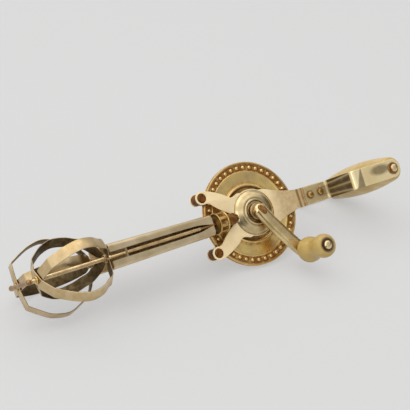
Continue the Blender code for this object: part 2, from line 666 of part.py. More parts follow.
def plate_pieces(side, root):
    name = SIDE_NAMES[side]
    low = FRONT_PLATE_INNER_FACE if side == FRONT else REAR_PLATE_INNER_FACE
    high = low + PLATE_THICKNESS
    claw_end = FRONT_CLAW_END_RADIUS if side == FRONT else REAR_CLAW_END_RADIUS
    flat = prism(plate_outline(claw_end), side * low, side * high)
    plate = piece(f"{name}_plate", flat, BRASS, root)
    middle = side * (low + high) / 2
    neck = side * (NECK_INNER_FACE + PLATE_THICKNESS / 2)
    path = rounded_path([(JOGGLE_START_X - 3.0, middle), (JOGGLE_START_X, middle),
                         (JOGGLE_END_X, neck), (NECK_END_X, neck)], 0.8, 2)
    tail = strip(path, [NECK_HALF_WIDTH] * len(path), PLATE_THICKNESS)
    wall = PLATE_THICKNESS
    opening = rod(low - 1.0, high + 1.0, BOSS_BASE_RADIUS - wall, 32)
    top = BOSS_TOP_FACE
    ring = top + BOSS_RING_HEIGHT
    bore = AXLE_RADIUS + 2 * FIT
    boss = [(low, BOSS_BASE_RADIUS - wall), (low, BOSS_BASE_RADIUS + 0.4), (high, BOSS_BASE_RADIUS + 0.4),
            (top, BOSS_TOP_RADIUS), (top, BOSS_RING_RADIUS), (ring, BOSS_RING_RADIUS - 0.5),
            (ring, BOSS_RING_RADIUS - 1.4), (top, BOSS_RING_RADIUS - 1.9), (top, bore),
            (top - wall, bore), (top - wall, BOSS_TOP_RADIUS - 0.6)]
    combine(plate, "_tail", tail, "UNION")
    combine(plate, "_boss_opening", along_y(opening, side), "DIFFERENCE")
    combine(plate, "_boss", along_y(turned(boss, 32, closed=True), side), "UNION")
    seat = rod(PINION_LENGTH / 2 - 2.0, PINION_LENGTH / 2 + BUSH_LENGTH + 2 * FIT, BUSH_RADIUS + FIT, 20)
    combine(plate, "_bush_seat", placed(seat, spindle_matrix(side)), "DIFFERENCE")
    for z in (POST_Z, -POST_Z):
        hole = along_y(rod(low - 1.0, high + 1.0, POST_JOURNAL_RADIUS + FIT, 16), side)
        combine(plate, "_post_hole", moved(hole, (POST_X, 0.0, z)), "DIFFERENCE")
    for x in RIVET_POSITIONS_X:
        hole = along_y(rod(-1.0, NECK_INNER_FACE + 3 * PLATE_THICKNESS, RIVET_RADIUS + FIT, 12), side)
        combine(plate, "_rivet_hole", moved(hole, (x, 0.0, 0.0)), "DIFFERENCE")
    bush = [(PINION_LENGTH / 2 + 2 * FIT, SPINDLE_RADIUS + FIT), (PINION_LENGTH / 2 + 2 * FIT, BUSH_RADIUS),
            (PINION_LENGTH / 2 + BUSH_LENGTH, BUSH_RADIUS),
            (PINION_LENGTH / 2 + BUSH_LENGTH, SPINDLE_RADIUS + FIT)]
    shape = placed(turned(bush, 20, closed=True), spindle_matrix(side))
    piece(f"spindle_bush_{name}", shape, BROWN, root)


def post_pieces(root):
    post = []
    for side, inner in ((FRONT, FRONT_PLATE_INNER_FACE), (REAR, REAR_PLATE_INNER_FACE)):
        shoulder = inner - FIT
        end = inner + PLATE_THICKNESS + POST_HEAD_PROUD
        half = [(side * end, POST_JOURNAL_RADIUS - 0.4), (side * (end - 0.4), POST_JOURNAL_RADIUS),
                (side * shoulder, POST_JOURNAL_RADIUS), (side * shoulder, POST_RADIUS)]
        post += half if side == FRONT else half[::-1]
    for name, z in (("post_upper", POST_Z), ("post_lower", -POST_Z)):
        piece(name, moved(along_y(turned(post, 16)), (POST_X, 0.0, z)), BROWN, root)


def sheath_ring(x, half_y, half_z, corner):
    """A rounded rectangle across the sheath."""
    inner_y = half_y - corner
    inner_z = half_z - corner
    outline = []
    for sy, sz, start in ((1, 1, 0), (-1, 1, 90), (-1, -1, 180), (1, -1, 270)):
        outline += arc((sy * inner_y, sz * inner_z), corner, start, start + 90, 3)
    return [(x, y, z) for y, z in outline]


def sheath_half(x, low, high):
    share = (x - SHEATH_LOW_X) / (SHEATH_HIGH_X - SHEATH_LOW_X)
    return low + (high - low) * share


def sheath_pieces(root):
    rings = []
    for x in (SHEATH_LOW_X, SHEATH_HIGH_X):
        half_y = sheath_half(x, SHEATH_LOW_HALF_Y, SHEATH_HIGH_HALF_Y)
        half_z = sheath_half(x, SHEATH_LOW_HALF_Z, SHEATH_HIGH_HALF_Z)
        rings.append((x, half_y, half_z))
    outer = [sheath_ring(x, y, z, SHEATH_CORNER) for x, y, z in rings]
    inner = [sheath_ring(x, y - SHEATH_WALL, z - SHEATH_WALL, SHEATH_CORNER - SHEATH_WALL)
             for x, y, z in reversed(rings)]
    sheath = piece("sheath", loft(outer + inner, closed=True), STEEL, root)
    slot = [(SHEATH_LOW_X - 1.0, SLOT_LOW_HALF_Z), (SHEATH_LOW_X - 1.0, -SLOT_LOW_HALF_Z),
            (SHEATH_HIGH_X - 6.0, -SLOT_LOW_HALF_Z * 0.7), (SHEATH_HIGH_X - 1.5, -0.3),
            (SHEATH_HIGH_X - 1.5, 0.3), (SHEATH_HIGH_X - 6.0, SLOT_LOW_HALF_Z * 0.7)]
    reach = (FRONT * (SHEATH_HIGH_HALF_Y - 3.0), FRONT * (SHEATH_LOW_HALF_Y + 1.0))
    combine(sheath, "_slot", prism(slot, *reach), "DIFFERENCE")
    for name, start in (("web_lower", SHEATH_LOW_X + LOWER_WEB_INSET),
                        ("web_upper", SHEATH_HIGH_X - UPPER_WEB_INSET - WEB_THICKNESS)):
        sections = []
        for x in (start, start + WEB_THICKNESS):
            half_y = sheath_half(x, SHEATH_LOW_HALF_Y, SHEATH_HIGH_HALF_Y) - SHEATH_WALL - FIT
            half_z = sheath_half(x, SHEATH_LOW_HALF_Z, SHEATH_HIGH_HALF_Z) - SHEATH_WALL - FIT
            sections.append(sheath_ring(x, half_y, half_z, SHEATH_CORNER - SHEATH_WALL))
        web = piece(f"sheath_{name}", loft(sections), STEEL, root)
        for side in (FRONT, REAR):
            hole = rod(-spindle_reach(side), 0.0, SPINDLE_RADIUS + FIT, 16)
            hole = placed(hole, spindle_matrix(side))
            combine(web, f"_hole_{SIDE_NAMES[side]}", hole, "DIFFERENCE")


def strap_faces():
    """Distances from the wheel's plane of the strap's middle at the neck and at the grip."""
    neck = NECK_INNER_FACE + PLATE_THICKNESS + FIT + STRAP_THICKNESS / 2
    outer = GRIP_HALF_LENGTH + FIT + STRAP_THICKNESS / 2
    return neck, outer


def handle_pieces(root):
    neck, outer = strap_faces()
    for side in (FRONT, REAR):
        corners = [(STRAP_START_X, side * neck), (STRAP_LEG_X + 1.4, side * neck),
                   (STRAP_LEG_X - 1.4, side * outer), (GRIP_X, side * outer)]
        path = rounded_path(corners, STRAP_BEND_RADIUS)
        widths = [STRAP_HALF_WIDTH] * len(path)
        for k in range(1, 7):
            share = math.sin(0.5 * math.pi * k / 6)
            path.append(np.array([GRIP_X + STRAP_HALF_WIDTH * share, side * outer]))
            widths.append(STRAP_HALF_WIDTH * max(0.12, math.cos(0.5 * math.pi * k / 6)))
        strap = piece(f"handle_strap_{SIDE_NAMES[side]}", strip(path, widths, STRAP_THICKNESS),
                      BRASS, root)
        for x in RIVET_POSITIONS_X:
            hole = along_y(rod(0.5, 2 * neck, RIVET_RADIUS + FIT, 12), side)
            combine(strap, "_rivet_hole", moved(hole, (x, 0.0, 0.0)), "DIFFERENCE")
        hole = along_y(rod(outer - 2.0, outer + 2.0, GRIP_BOLT_RADIUS + FIT, 16), side)
        combine(strap, "_bolt_hole", moved(hole, (GRIP_X, 0.0, 0.0)), "DIFFERENCE")
        face = outer + STRAP_THICKNESS / 2 + FIT
        washer = [(face, GRIP_BOLT_RADIUS + FIT), (face, GRIP_WASHER_RADIUS),
                  (face + GRIP_WASHER_THICKNESS, GRIP_WASHER_RADIUS - 0.3),
                  (face + GRIP_WASHER_THICKNESS, GRIP_BOLT_RADIUS + FIT)]
        shape = along_y(turned(washer, 24, closed=True), side)
        piece(f"grip_washer_{SIDE_NAMES[side]}", moved(shape, (GRIP_X, 0.0, 0.0)), BROWN, root)
    bore = GRIP_BOLT_RADIUS + FIT
    profile = [(-GRIP_HALF_LENGTH, bore), (-GRIP_HALF_LENGTH, GRIP_END_RADIUS - 0.8)]
    for k in range(9):
        share = -1 + 2 * k / 8
        along = share * (GRIP_HALF_LENGTH - 0.8)
        profile.append((along, GRIP_END_RADIUS + GRIP_BULGE * (1 - share * share)))
    profile += [(GRIP_HALF_LENGTH, GRIP_END_RADIUS - 0.8), (GRIP_HALF_LENGTH, bore)]
    shape = along_y(turned(profile, 28, closed=True))
    piece("grip", moved(shape, (GRIP_X, 0.0, 0.0)), CREAM, root)
    face = outer + STRAP_THICKNESS / 2 + 2 * FIT + GRIP_WASHER_THICKNESS
    end = face + GRIP_NUT_HEIGHT
    bolt = [(-end, GRIP_BOLT_RADIUS - 0.4), (-end + 0.4, GRIP_BOLT_RADIUS), (face, GRIP_BOLT_RADIUS),
            *dome(face, GRIP_NUT_HEIGHT, GRIP_BOLT_HEAD_RADIUS)]
    piece("grip_bolt", moved(along_y(turned(bolt, 20), FRONT), (GRIP_X, 0.0, 0.0)), BRASS, root)
    nut = [(face, bore), (face, GRIP_BOLT_HEAD_RADIUS + 0.4), (end - 0.6, GRIP_BOLT_HEAD_RADIUS + 0.4),
           (end, GRIP_BOLT_HEAD_RADIUS - 0.2), (end, bore)]
    shape = along_y(turned(nut, 18, closed=True), REAR)
    piece("grip_nut", moved(shape, (GRIP_X, 0.0, 0.0)), BRASS, root)


def rivet_pieces(root):
    neck, _ = strap_faces()
    face = neck + STRAP_THICKNESS / 2 + FIT
    for name, x in zip(("neck_rivet_inner", "neck_rivet_outer"), RIVET_POSITIONS_X):
        front = dome(face, RIVET_HEAD_HEIGHT, RIVET_HEAD_RADIUS)
        rear = [(-along, radius) for along, radius in reversed(front)]
        profile = [*rear, (-face, RIVET_RADIUS), (face, RIVET_RADIUS), *front]
        shape = along_y(turned(profile, 14), FRONT)
        piece(name, moved(shape, (x, 0.0, 0.0)), GOLD_BRASS, root)


def resting_up():
    """Up vector, in the mixer's own frame, when it lies on rim, rear beater and grip."""
    groups = [[bpy.data.objects["wheel_rim"]],
              [bpy.data.objects["beater_rear_loop_a"], bpy.data.objects["beater_rear_loop_b"]],
              [bpy.data.objects["grip"]]]
    clouds = []
    for group in groups:
        clouds.append([o.matrix_world @ v.co for o in group for v in o.data.vertices])
    up = Vector((0.0, -0.65, 0.75)).normalized()
    for _ in range(20):
        a, b, c = [min(cloud, key=lambda p: p.dot(up)) for cloud in clouds]
        normal = (b - a).cross(c - a).normalized()
        up = normal if normal.z > 0 else -normal
    return up


def lay_down(root):
    """Leans the mixer until its resting plane is the floor, and centres it over the origin."""
    bpy.context.view_layer.update()
    root.rotation_mode = "QUATERNION"
    root.rotation_quaternion = resting_up().rotation_difference(Vector((0.0, 0.0, 1.0)))
    bpy.context.view_layer.update()
    corners = [o.matrix_world @ v.co for o in bpy.data.objects
               if o.type == "MESH" and not o.hide_render for v in o.data.vertices]
    low = [min(c[i] for c in corners) for i in range(3)]
    high = [max(c[i] for c in corners) for i in range(3)]
    root.location = (-(low[0] + high[0]) / 2, -(low[1] + high[1]) / 2, -low[2])


clear_scene()
lying = empty("resting_pose", (0.0, 0.0, 0.0), None)
wheel_axis = empty("wheel_axis", (0.0, 0.0, 0.0), lying)
wheel_pieces(wheel_axis)
crank_pieces(wheel_axis)
for spindle_side in (FRONT, REAR):
    centre = (PINION_CENTRE_X, spindle_side * PINION_OFFSET, 0.0)
    spin_axis = empty(f"spindle_axis_{SIDE_NAMES[spindle_side]}", centre, lying,
                      -spindle_side * spindle_splay())
    beater_pieces(spindle_side, spin_axis)
    plate_pieces(spindle_side, lying)
foot_bar_piece(lying)
post_pieces(lying)
sheath_pieces(lying)
handle_pieces(lying)
rivet_pieces(lying)
lay_down(lying)
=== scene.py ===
"""Hand crank mixer with two geared beaters, dressed for a studio picture.

Lengths are in millimetres, in the mixer's own lying frame: x runs along it towards the
handle, y away from the crank side, z across. The scene itself is in metres.
"""

import json
import math

import bmesh
import bpy
from mathutils import Matrix, Vector


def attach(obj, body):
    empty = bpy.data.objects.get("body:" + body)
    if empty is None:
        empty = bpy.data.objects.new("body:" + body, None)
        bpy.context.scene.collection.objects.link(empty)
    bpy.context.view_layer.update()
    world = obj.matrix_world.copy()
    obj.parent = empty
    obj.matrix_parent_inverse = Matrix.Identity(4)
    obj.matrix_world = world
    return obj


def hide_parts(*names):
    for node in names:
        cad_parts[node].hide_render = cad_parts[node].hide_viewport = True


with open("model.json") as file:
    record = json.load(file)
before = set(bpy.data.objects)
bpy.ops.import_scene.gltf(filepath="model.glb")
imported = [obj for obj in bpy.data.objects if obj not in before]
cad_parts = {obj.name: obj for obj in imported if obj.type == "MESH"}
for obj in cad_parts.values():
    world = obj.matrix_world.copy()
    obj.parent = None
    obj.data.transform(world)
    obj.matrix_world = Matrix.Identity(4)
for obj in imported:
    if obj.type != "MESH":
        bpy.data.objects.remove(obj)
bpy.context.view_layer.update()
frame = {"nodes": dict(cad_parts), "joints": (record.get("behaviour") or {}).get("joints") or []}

# How the mixer lies on the table. The drive wheel's axle and the two beater spindles give
# its own frame, so each piece below is drawn as on a workshop drawing and then laid down.
MM = 0.001
SIDES = {"front": -1, "rear": 1}
joint_lines = {}
for joint in frame["joints"]:
    joint_lines[joint["name"]] = (Vector(joint["pos_m"]), Vector(joint["axis"]).normalized())
wheel_middle, axle_out = joint_lines["wheel_spin"]
along = joint_lines["front_beater_spin"][1] + joint_lines["rear_beater_spin"][1]
along = (along - along.dot(axle_out) * axle_out).normalized()
across = axle_out.cross(along)


def own_frame(origin, x_line):
    """Matrix of a frame whose x runs along x_line and whose z runs across the mixer."""
    y_line = across.cross(x_line)
    turn = Matrix((x_line, y_line, across)).transposed().to_4x4()
    return Matrix.Translation(origin) @ turn


lying = own_frame(wheel_middle, along)
spindle_frames = {name: own_frame(*joint_lines[f"{name}_beater_spin"]) for name in SIDES}


# Drive wheel rim. A strip of brass rolled round the edges of the two pressed faces, with a
# shallow groove round its middle; tarnish sits in the groove and under the lips.
WHEEL_RADIUS = 38.0
RIM_HALF_DEPTH = 1.9
RIM_LIP_RADIUS = 36.5
RIM_GROOVE_EDGE = 0.9
RIM_GROOVE_HALF = 0.45
RIM_GROOVE_DEPTH = 0.35
RIM_SEAT_RADIUS = 37.0
RIM_SEAT_HALF = 1.2
RIM_BRASS = (0.86, 0.62, 0.26)
RIM_SHADE = (0.62, 0.38, 0.12)
TARNISH = (0.25, 0.085, 0.018)


def soften(corners, radius, steps=3, closed=False):
    """A run of corners with each one rounded to about the radius."""
    rows = [Vector(c) for c in corners]
    count = len(rows)
    path = []
    for i, corner in enumerate(rows):
        if not closed and i in (0, count - 1):
            path.append(corner)
            continue
        before = rows[i - 1]
        after = rows[(i + 1) % count]
        back = min(radius, 0.45 * (before - corner).length, 0.45 * (after - corner).length)
        start = corner + (before - corner).normalized() * back
        end = corner + (after - corner).normalized() * back
        for k in range(steps + 1):
            t = k / steps
            path.append((1 - t) ** 2 * start + 2 * t * (1 - t) * corner + t * t * end)
    return [tuple(p) for p in path]


def loft(rings, closed=False):
    """Skins rings of equal point counts; open runs get a cap at each end."""
    count = len(rings[0])
    points = [tuple(p) for ring in rings for p in ring]
    faces = []
    for i in range(len(rings) if closed else len(rings) - 1):
        low = i * count
        high = (i + 1) % len(rings) * count
        for j in range(count):
            k = (j + 1) % count
            faces.append((low + j, low + k, high + k, high + j))
    if not closed:
        faces.append(tuple(range(count)))
        faces.append(tuple(range((len(rings) - 1) * count, len(rings) * count)))
    return points, faces


def ringed(rows, steps, spot, closed=False):
    """Rings round a line, one for each row; spot gives a point from its angle and its row."""
    angles = [2 * math.pi * k / steps for k in range(steps)]
    return loft([[spot(angle, *row) for angle in angles] for row in rows], closed)


def turned(profile, steps, closed=False):
    """Turns (along, radius) points round the x line; a closed profile leaves a bore."""
    return ringed(profile, steps, lambda angle, run, radius:
                  (run, radius * math.cos(angle), radius * math.sin(angle)), closed)


def on_axle(shape, sign=1, at=(0.0, 0.0)):
    """Turns a shape made along x so that it runs along y, and moves it to (x, z)."""
    points, faces = shape
    return [(z + at[0], sign * x, y + at[1]) for x, y, z in points], faces


def mesh_of(shape, stain_and_painted_light=None, sharp_degrees=38.0):
    """A mesh in metres, faces turned outwards; the marks, given as a rule or as a value per point, hold
    tarnish, painted shade and painted light.
    """
    points, faces = shape
    mesh = bpy.data.meshes.new("piece")
    mesh.from_pydata([Vector(p) * MM for p in points], [], faces)
    work = bmesh.new()
    work.from_mesh(mesh)
    bmesh.ops.recalc_face_normals(work, faces=work.faces)
    work.to_mesh(mesh)
    work.free()
    if stain_and_painted_light is not None:
        shares = stain_and_painted_light if isinstance(stain_and_painted_light, list) else [float(stain_and_painted_light(*p)) for p in points]
        mesh.attributes.new("stain_and_painted_light", "FLOAT", "POINT").data.foreach_set("value", shares)
    mesh.shade_smooth()
    mesh.set_sharp_from_angle(angle=math.radians(sharp_degrees))
    return mesh


def linked(name, data):
    """A new object in the scene."""
    made = bpy.data.objects.new(name, data)
    bpy.context.scene.collection.objects.link(made)
    return made


def put(name, mesh, finish, body, stands_for, slot, place=lying):
    """Lays a mesh down, gives it its finish, hangs it on its body and hides the solids it stands for."""
    spots = mesh.attributes.new("spot", "FLOAT_VECTOR", "POINT")
    spots.data.foreach_set("vector", [c for v in mesh.vertices for c in v.co])
    mesh.name = name
    mesh.transform(place)
    made = linked(name, mesh)
    mesh.materials.clear()
    mesh.materials.append(finish)
    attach(made, body)
    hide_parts(*stands_for)


def feed(tree, node, values):
    """Sets a node's inputs, each to a plain value or to a link."""
    for key, value in values.items():
        if isinstance(value, bpy.types.NodeSocket):
            tree.links.new(value, node.inputs[key])
        else:
            node.inputs[key].default_value = value


def add(tree, kind, values=None, **settings):
    """A shader node with its settings and its inputs."""
    made = tree.nodes.new(kind)
    for key, value in settings.items():
        setattr(made, key, value)
    feed(tree, made, values or {})
    return made


def stored(tree, name):
    """The outputs of a value that the mesh holds point by point."""
    return add(tree, "ShaderNodeAttribute", attribute_name=name).outputs


def noise(tree, where, scale, detail=3.0, stretch=(1.0, 1.0, 1.0), roughness=0.55):
    """Noise in metres of the piece's own frame, stretched along its axes."""
    mapped = add(tree, "ShaderNodeMapping", {"Vector": where, "Scale": stretch})
    values = {"Vector": mapped.outputs[0], "Scale": scale, "Detail": detail, "Roughness": roughness}
    return add(tree, "ShaderNodeTexNoise", values).outputs["Fac"]


def spread(tree, value, low, high, to_low=0.0, to_high=1.0):
    """Rescales a value and holds it within its new range."""
    values = {"Value": value, "From Min": low, "From Max": high, "To Min": to_low, "To Max": to_high}
    return add(tree, "ShaderNodeMapRange", values).outputs["Result"]


def mixed(tree, share, first, second):
    """Mixes two colours, plain ones or links; the node's inputs 6 and 7 and its output 2 are colours."""
    first, second = [(*c, 1.0) if isinstance(c, tuple) else c for c in (first, second)]
    return add(tree, "ShaderNodeMix", {0: share, 6: first, 7: second}, data_type="RGBA").outputs[2]


def sums(tree, operation, first, second):
    """A sum of two values, by the operation's name."""
    return add(tree, "ShaderNodeMath", {0: first, 1: second}, operation=operation).outputs[0]


def bumped(tree, strength, distance, height, under=None):
    """A bumped surface, on top of another one where there is one."""
    made = add(tree, "ShaderNodeBump", {"Strength": strength, "Distance": distance, "Height": height})
    if under:
        tree.links.new(under, made.inputs["Normal"])
    return made.outputs[0]


def blank_finish(name):
    """A new material with its tree and its shader."""
    made = bpy.data.materials.new(name)
    made.use_nodes = True
    return made, made.node_tree, made.node_tree.nodes["Principled BSDF"]


def worn_metal(name, clean, shade, mark_colour, roughness=(0.2, 0.34), patch=110.0,
               grain=(6.0, 60.0, 60.0), scratches=0.2, pits=0.3, spots=0.5, marked=True,
               metal=1.0, dull=0.72, cloudy=(0.62, 1.25)):
    """Polished metal with cloudy patches, hairline scratches, small pits and brown tarnish; per-point marks
    add tarnish on some pieces, painted shade and painted light on others.

    Dull is how much of the metal's look the marked parts keep, cloudy how their strength varies.
    """
    made, tree, shader = blank_finish(name)
    where = stored(tree, "spot")["Vector"]
    clouds = noise(tree, where, patch, 4.0)
    flecks = noise(tree, where, patch * 9.0, 3.0)
    hairs = noise(tree, where, 90.0, 6.0, grain, 0.7)
    colour = mixed(tree, spread(tree, clouds, 0.38, 0.66), clean, shade)
    brown = spread(tree, flecks, 0.60, 0.80, 0.0, spots)
    colour = mixed(tree, brown, colour, mark_colour)
    if marked:
        patchy = spread(tree, noise(tree, where, patch * 4.0, 4.0), 0.36, 0.62, *cloudy)
        brown = spread(tree, sums(tree, "MULTIPLY", stored(tree, "stain_and_painted_light")["Fac"], patchy), 0.05, 0.95)
        colour = mixed(tree, brown, colour, mark_colour)
    feed(tree, shader, {
        "Base Color": colour,
        "Roughness": sums(tree, "ADD", spread(tree, clouds, 0.35, 0.7, *roughness),
                          spread(tree, brown, 0.0, 1.0, 0.0, 0.2)),
        "Metallic": spread(tree, brown, 0.0, 1.0, metal, dull * metal),
        "Normal": bumped(tree, pits, 0.00006, flecks, bumped(tree, scratches, 0.00004, hairs)),
    })
    return made


def rim_stain(x, y, z):
    """Brown in the groove round the middle and under the lips."""
    radius = math.hypot(x, z)
    if abs(y) < RIM_GROOVE_HALF + 0.15 and radius > RIM_SEAT_RADIUS:
        return 1.0
    return 0.9 if radius < RIM_LIP_RADIUS + 0.2 else 0.15


groove_floor = WHEEL_RADIUS - RIM_GROOVE_DEPTH
rim_profile = [(-RIM_HALF_DEPTH, RIM_LIP_RADIUS), (-RIM_HALF_DEPTH, WHEEL_RADIUS - 0.1),
               (-RIM_GROOVE_EDGE, WHEEL_RADIUS), (-RIM_GROOVE_HALF, groove_floor),
               (RIM_GROOVE_HALF, groove_floor), (RIM_GROOVE_EDGE, WHEEL_RADIUS),
               (RIM_HALF_DEPTH, WHEEL_RADIUS - 0.1), (RIM_HALF_DEPTH, RIM_LIP_RADIUS),
               (RIM_SEAT_HALF, RIM_LIP_RADIUS), (RIM_SEAT_HALF, RIM_SEAT_RADIUS),
               (-RIM_SEAT_HALF, RIM_SEAT_RADIUS), (-RIM_SEAT_HALF, RIM_LIP_RADIUS)]
rim_finish = worn_metal("rim_brass", RIM_BRASS, RIM_SHADE, TARNISH, patch=160.0, grain=(8, 80, 8))
put("rolled_rim", mesh_of(on_axle(turned(soften(rim_profile, 0.5, 3, True), 180, True)), rim_stain),
    rim_finish, "crank_wheel", ["wheel_rim"], "gold_brass")


# Wheel faces. Two pressed sheets back to back, each with a ring of forty round beads that
# drive the pinions, a flat band, and a raised ring round the well where the hub sits.
BEAD_COUNT = 40
BEAD_CIRCLE = 33.8
BEAD_RADIUS = 1.6
BEAD_HEIGHT = 1.8
BEAD_AROUND = 16
BEAD_LEVELS = ((1.18, 0.0), (1.0, 0.16), (0.93, 0.42), (0.78, 0.68), (0.55, 0.87), (0.28, 0.97))
GROOVE_HALF_WIDTH = 2.05
GROOVE_FACE = 0.9
BAND_FACE = 1.0
STEP_RING_FACE = 2.6
WELL_FACE = 0.6
AXLE_RADIUS = 4.6
RUNNING_GAP = 0.3
OUTER_EDGE = [(BEAD_CIRCLE + GROOVE_HALF_WIDTH, GROOVE_FACE), (36.0, 0.95), (36.3, 1.15), (36.7, 1.15),
              (36.8, 0.9), (36.8, 0.15)]
INNER_FACE = [(BEAD_CIRCLE - GROOVE_HALF_WIDTH, GROOVE_FACE), (31.5, 1.0), (31.15, 1.35), (30.7, 1.42),
              (30.2, 1.25), (29.6, BAND_FACE + 0.05), (24.0, BAND_FACE + 0.05), (22.6, BAND_FACE),
              (22.1, 1.15), (21.8, 1.7), (21.6, 2.3), (21.3, STEP_RING_FACE), (20.4, STEP_RING_FACE),
              (20.0, 2.35), (19.6, 1.5), (19.2, 0.85), (18.7, WELL_FACE), (15.0, WELL_FACE), (14.4, 0.9),
              (13.6, 1.1), (12.8, 0.9), (12.2, WELL_FACE), (AXLE_RADIUS + RUNNING_GAP, WELL_FACE),
              (AXLE_RADIUS + RUNNING_GAP, 0.15)]
FACE_BRASS = (0.90, 0.66, 0.25)
FACE_SHADE = (0.62, 0.45, 0.21)
GROOVE_BROWN_AND_SHADE = (0.29, 0.115, 0.020)


def wheel_face(side):
    """One pressed face, four steps round for each bead, with the beads sewn into the groove."""
    steps = 4 * BEAD_COUNT
    points = []
    faces = []

    def at(radius, height, step, over=0.0):
        """Adds a point by its radius, its height and its step round the wheel."""
        angle = math.radians(step * 360 / steps)
        points.append((radius * math.cos(angle) - over * math.sin(angle), side * height,
                       radius * math.sin(angle) + over * math.cos(angle)))
        return len(points) - 1

    def skin(rows):
        """Joins each closed row of points to the next."""
        for low, high in zip(rows, rows[1:]):
            for a, here in enumerate(low):
                b = (a + 1) % len(low)
                faces.append((here, low[b], high[b], high[a]))

    outer, inner = [[[at(radius, height, a - 2) for a in range(steps)] for radius, height in profile]
                    for profile in (OUTER_EDGE, INNER_FACE)]
    skin(outer)
    skin(inner)
    skin([outer[-1], inner[-1]])
    reaches = [BEAD_CIRCLE + GROOVE_HALF_WIDTH * (1 - j / 2) for j in (1, 2, 3)]
    sides = [[at(reach, GROOVE_FACE, 4 * k - 2) for reach in reaches] for k in range(BEAD_COUNT)]
    turns = [math.radians((j - 2) * 360 / BEAD_AROUND) for j in range(BEAD_AROUND)]
    for k in range(BEAD_COUNT):
        border = [outer[0][(4 * k + j) % steps] for j in range(5)] + sides[(k + 1) % BEAD_COUNT]
        border += [inner[0][(4 * k + 4 - j) % steps] for j in range(5)] + sides[k][::-1]
        rows = [border]
        for share, height in BEAD_LEVELS:
            reach = share * BEAD_RADIUS
            rows.append([at(BEAD_CIRCLE + reach * math.cos(turn), GROOVE_FACE + height * BEAD_HEIGHT,
                            4 * k, reach * math.sin(turn)) for turn in turns])
        skin(rows)
        crown = at(BEAD_CIRCLE, GROOVE_FACE + BEAD_HEIGHT, 4 * k)
        faces.extend((here, rows[-1][(j + 1) % BEAD_AROUND], crown) for j, here in enumerate(rows[-1]))
    return points, faces


def face_tarnish_and_shade(x, y, z):
    """Brown tarnish in the bead groove, deepened by painted shade towards its floor; painted shade at the
    foot of each step and in the well under the hub; clean on crowns and flats.
    """
    radius = math.hypot(x, z)
    if 31.2 < radius < 36.4:
        return max(0.05, 1.0 + GROOVE_FACE - abs(y))
    if 21.7 < radius < 23.0 or 18.6 < radius < 19.8:
        return 0.55
    return 0.5 if radius < 18.6 else 0.06


# The groove's brown is tarnish deepened by painted shade; the step feet and the well get painted shade.
face_finish = worn_metal("wheel_face_brass", FACE_BRASS, FACE_SHADE, GROOVE_BROWN_AND_SHADE,
                         roughness=(0.22, 0.36), patch=95.0, grain=(30, 30, 30), spots=0.35)
for side_name, side in SIDES.items():
    put(f"beaded_face_{side_name}", mesh_of(wheel_face(side), face_tarnish_and_shade, 50.0), face_finish,
        "crank_wheel", [f"wheel_disc_{side_name}"], "pale_brass")


# Axle, hub spacers and rear cap. The axle is a steel pin through the wheel, with a flange
# under the crank arm; brown brass spacers hold the wheel in the middle of the two plates.
AXLE_REAR_END = 11.0
AXLE_FLANGE_FACE = 12.0
AXLE_FLANGE_RADIUS = 6.0
AXLE_FLANGE_THICKNESS = 1.2
AXLE_STEEL = (0.66, 0.56, 0.36)
AXLE_SHADE = (0.40, 0.31, 0.17)
AXLE_GRIME = (0.16, 0.075, 0.03)
HUB_SPACER_RADIUS = 7.6
HUB_SPACER_RUN = (0.9, 8.6)
SPACER_BROWN = (0.20, 0.075, 0.022)
SPACER_SHADE = (0.11, 0.038, 0.012)
RUBBED_BROWN = (0.52, 0.30, 0.10)
REAR_CAP_RADIUS = 6.4
REAR_CAP_DEPTH = 2.2
REAR_CAP_EDGE = 0.4

axle_finish = worn_metal("axle_steel", AXLE_STEEL, AXLE_SHADE, AXLE_GRIME, roughness=(0.18, 0.3),
                         patch=220.0, grain=(8, 80, 8))
under_flange = AXLE_FLANGE_FACE - AXLE_FLANGE_THICKNESS
axle_profile = [(-AXLE_REAR_END, AXLE_RADIUS), (under_flange - 0.1, AXLE_RADIUS),
                (under_flange, AXLE_FLANGE_RADIUS), (AXLE_FLANGE_FACE, AXLE_FLANGE_RADIUS),
                (AXLE_FLANGE_FACE, 0.2)]
put("axle_pin", mesh_of(on_axle(turned(soften(axle_profile, 0.45), 72), -1),
                        lambda x, y, z: 0.9 if 9.6 < -y < under_flange + 0.1 else 0.2),
    axle_finish, "crank_wheel", ["drive_axle"], "aged_steel")


def brown_metal(name, brown, shade, glint, roughness=(0.38, 0.6), patch=260.0):
    """Oxidised brass: dull red brown with darker clouds and a few bright rubbed flecks."""
    made, tree, shader = blank_finish(name)
    where = stored(tree, "spot")["Vector"]
    flecks = noise(tree, where, patch * 4.0, 4.0)
    rubbed = spread(tree, flecks, 0.58, 0.72)
    clouded = mixed(tree, spread(tree, noise(tree, where, patch, 4.0), 0.36, 0.64), brown, shade)
    feed(tree, shader, {
        "Base Color": mixed(tree, rubbed, clouded, glint),
        "Roughness": spread(tree, flecks, 0.35, 0.7, roughness[1], roughness[0]),
        "Metallic": spread(tree, rubbed, 0.0, 1.0, 0.55, 0.9),
        "Specular IOR Level": 0.15,
        "Normal": bumped(tree, 0.5, 0.00012, flecks),
    })
    return made


spacer_finish = brown_metal("spacer_brown", SPACER_BROWN, SPACER_SHADE, RUBBED_BROWN)
for side_name, side in SIDES.items():
    start, end = HUB_SPACER_RUN
    spacer = [(start, AXLE_RADIUS + RUNNING_GAP), (start, HUB_SPACER_RADIUS), (end, HUB_SPACER_RADIUS),
              (end, AXLE_RADIUS + RUNNING_GAP)]
    put(f"hub_spacer_ring_{side_name}",
        mesh_of(on_axle(turned(soften(spacer, 0.3, 2, True), 64, True), side)), spacer_finish,
        "crank_wheel", [f"hub_spacer_{side_name}"], "brown_oxide")


def dome(face, radius, height, rows, whole, least=0.0):
    """Rows of a dome that stands on a face and would close to a point at the whole count."""
    swings = [0.5 * math.pi * k / whole for k in rows]
    return [(face + height * math.sin(a), max(least, radius * math.cos(a))) for a in swings]


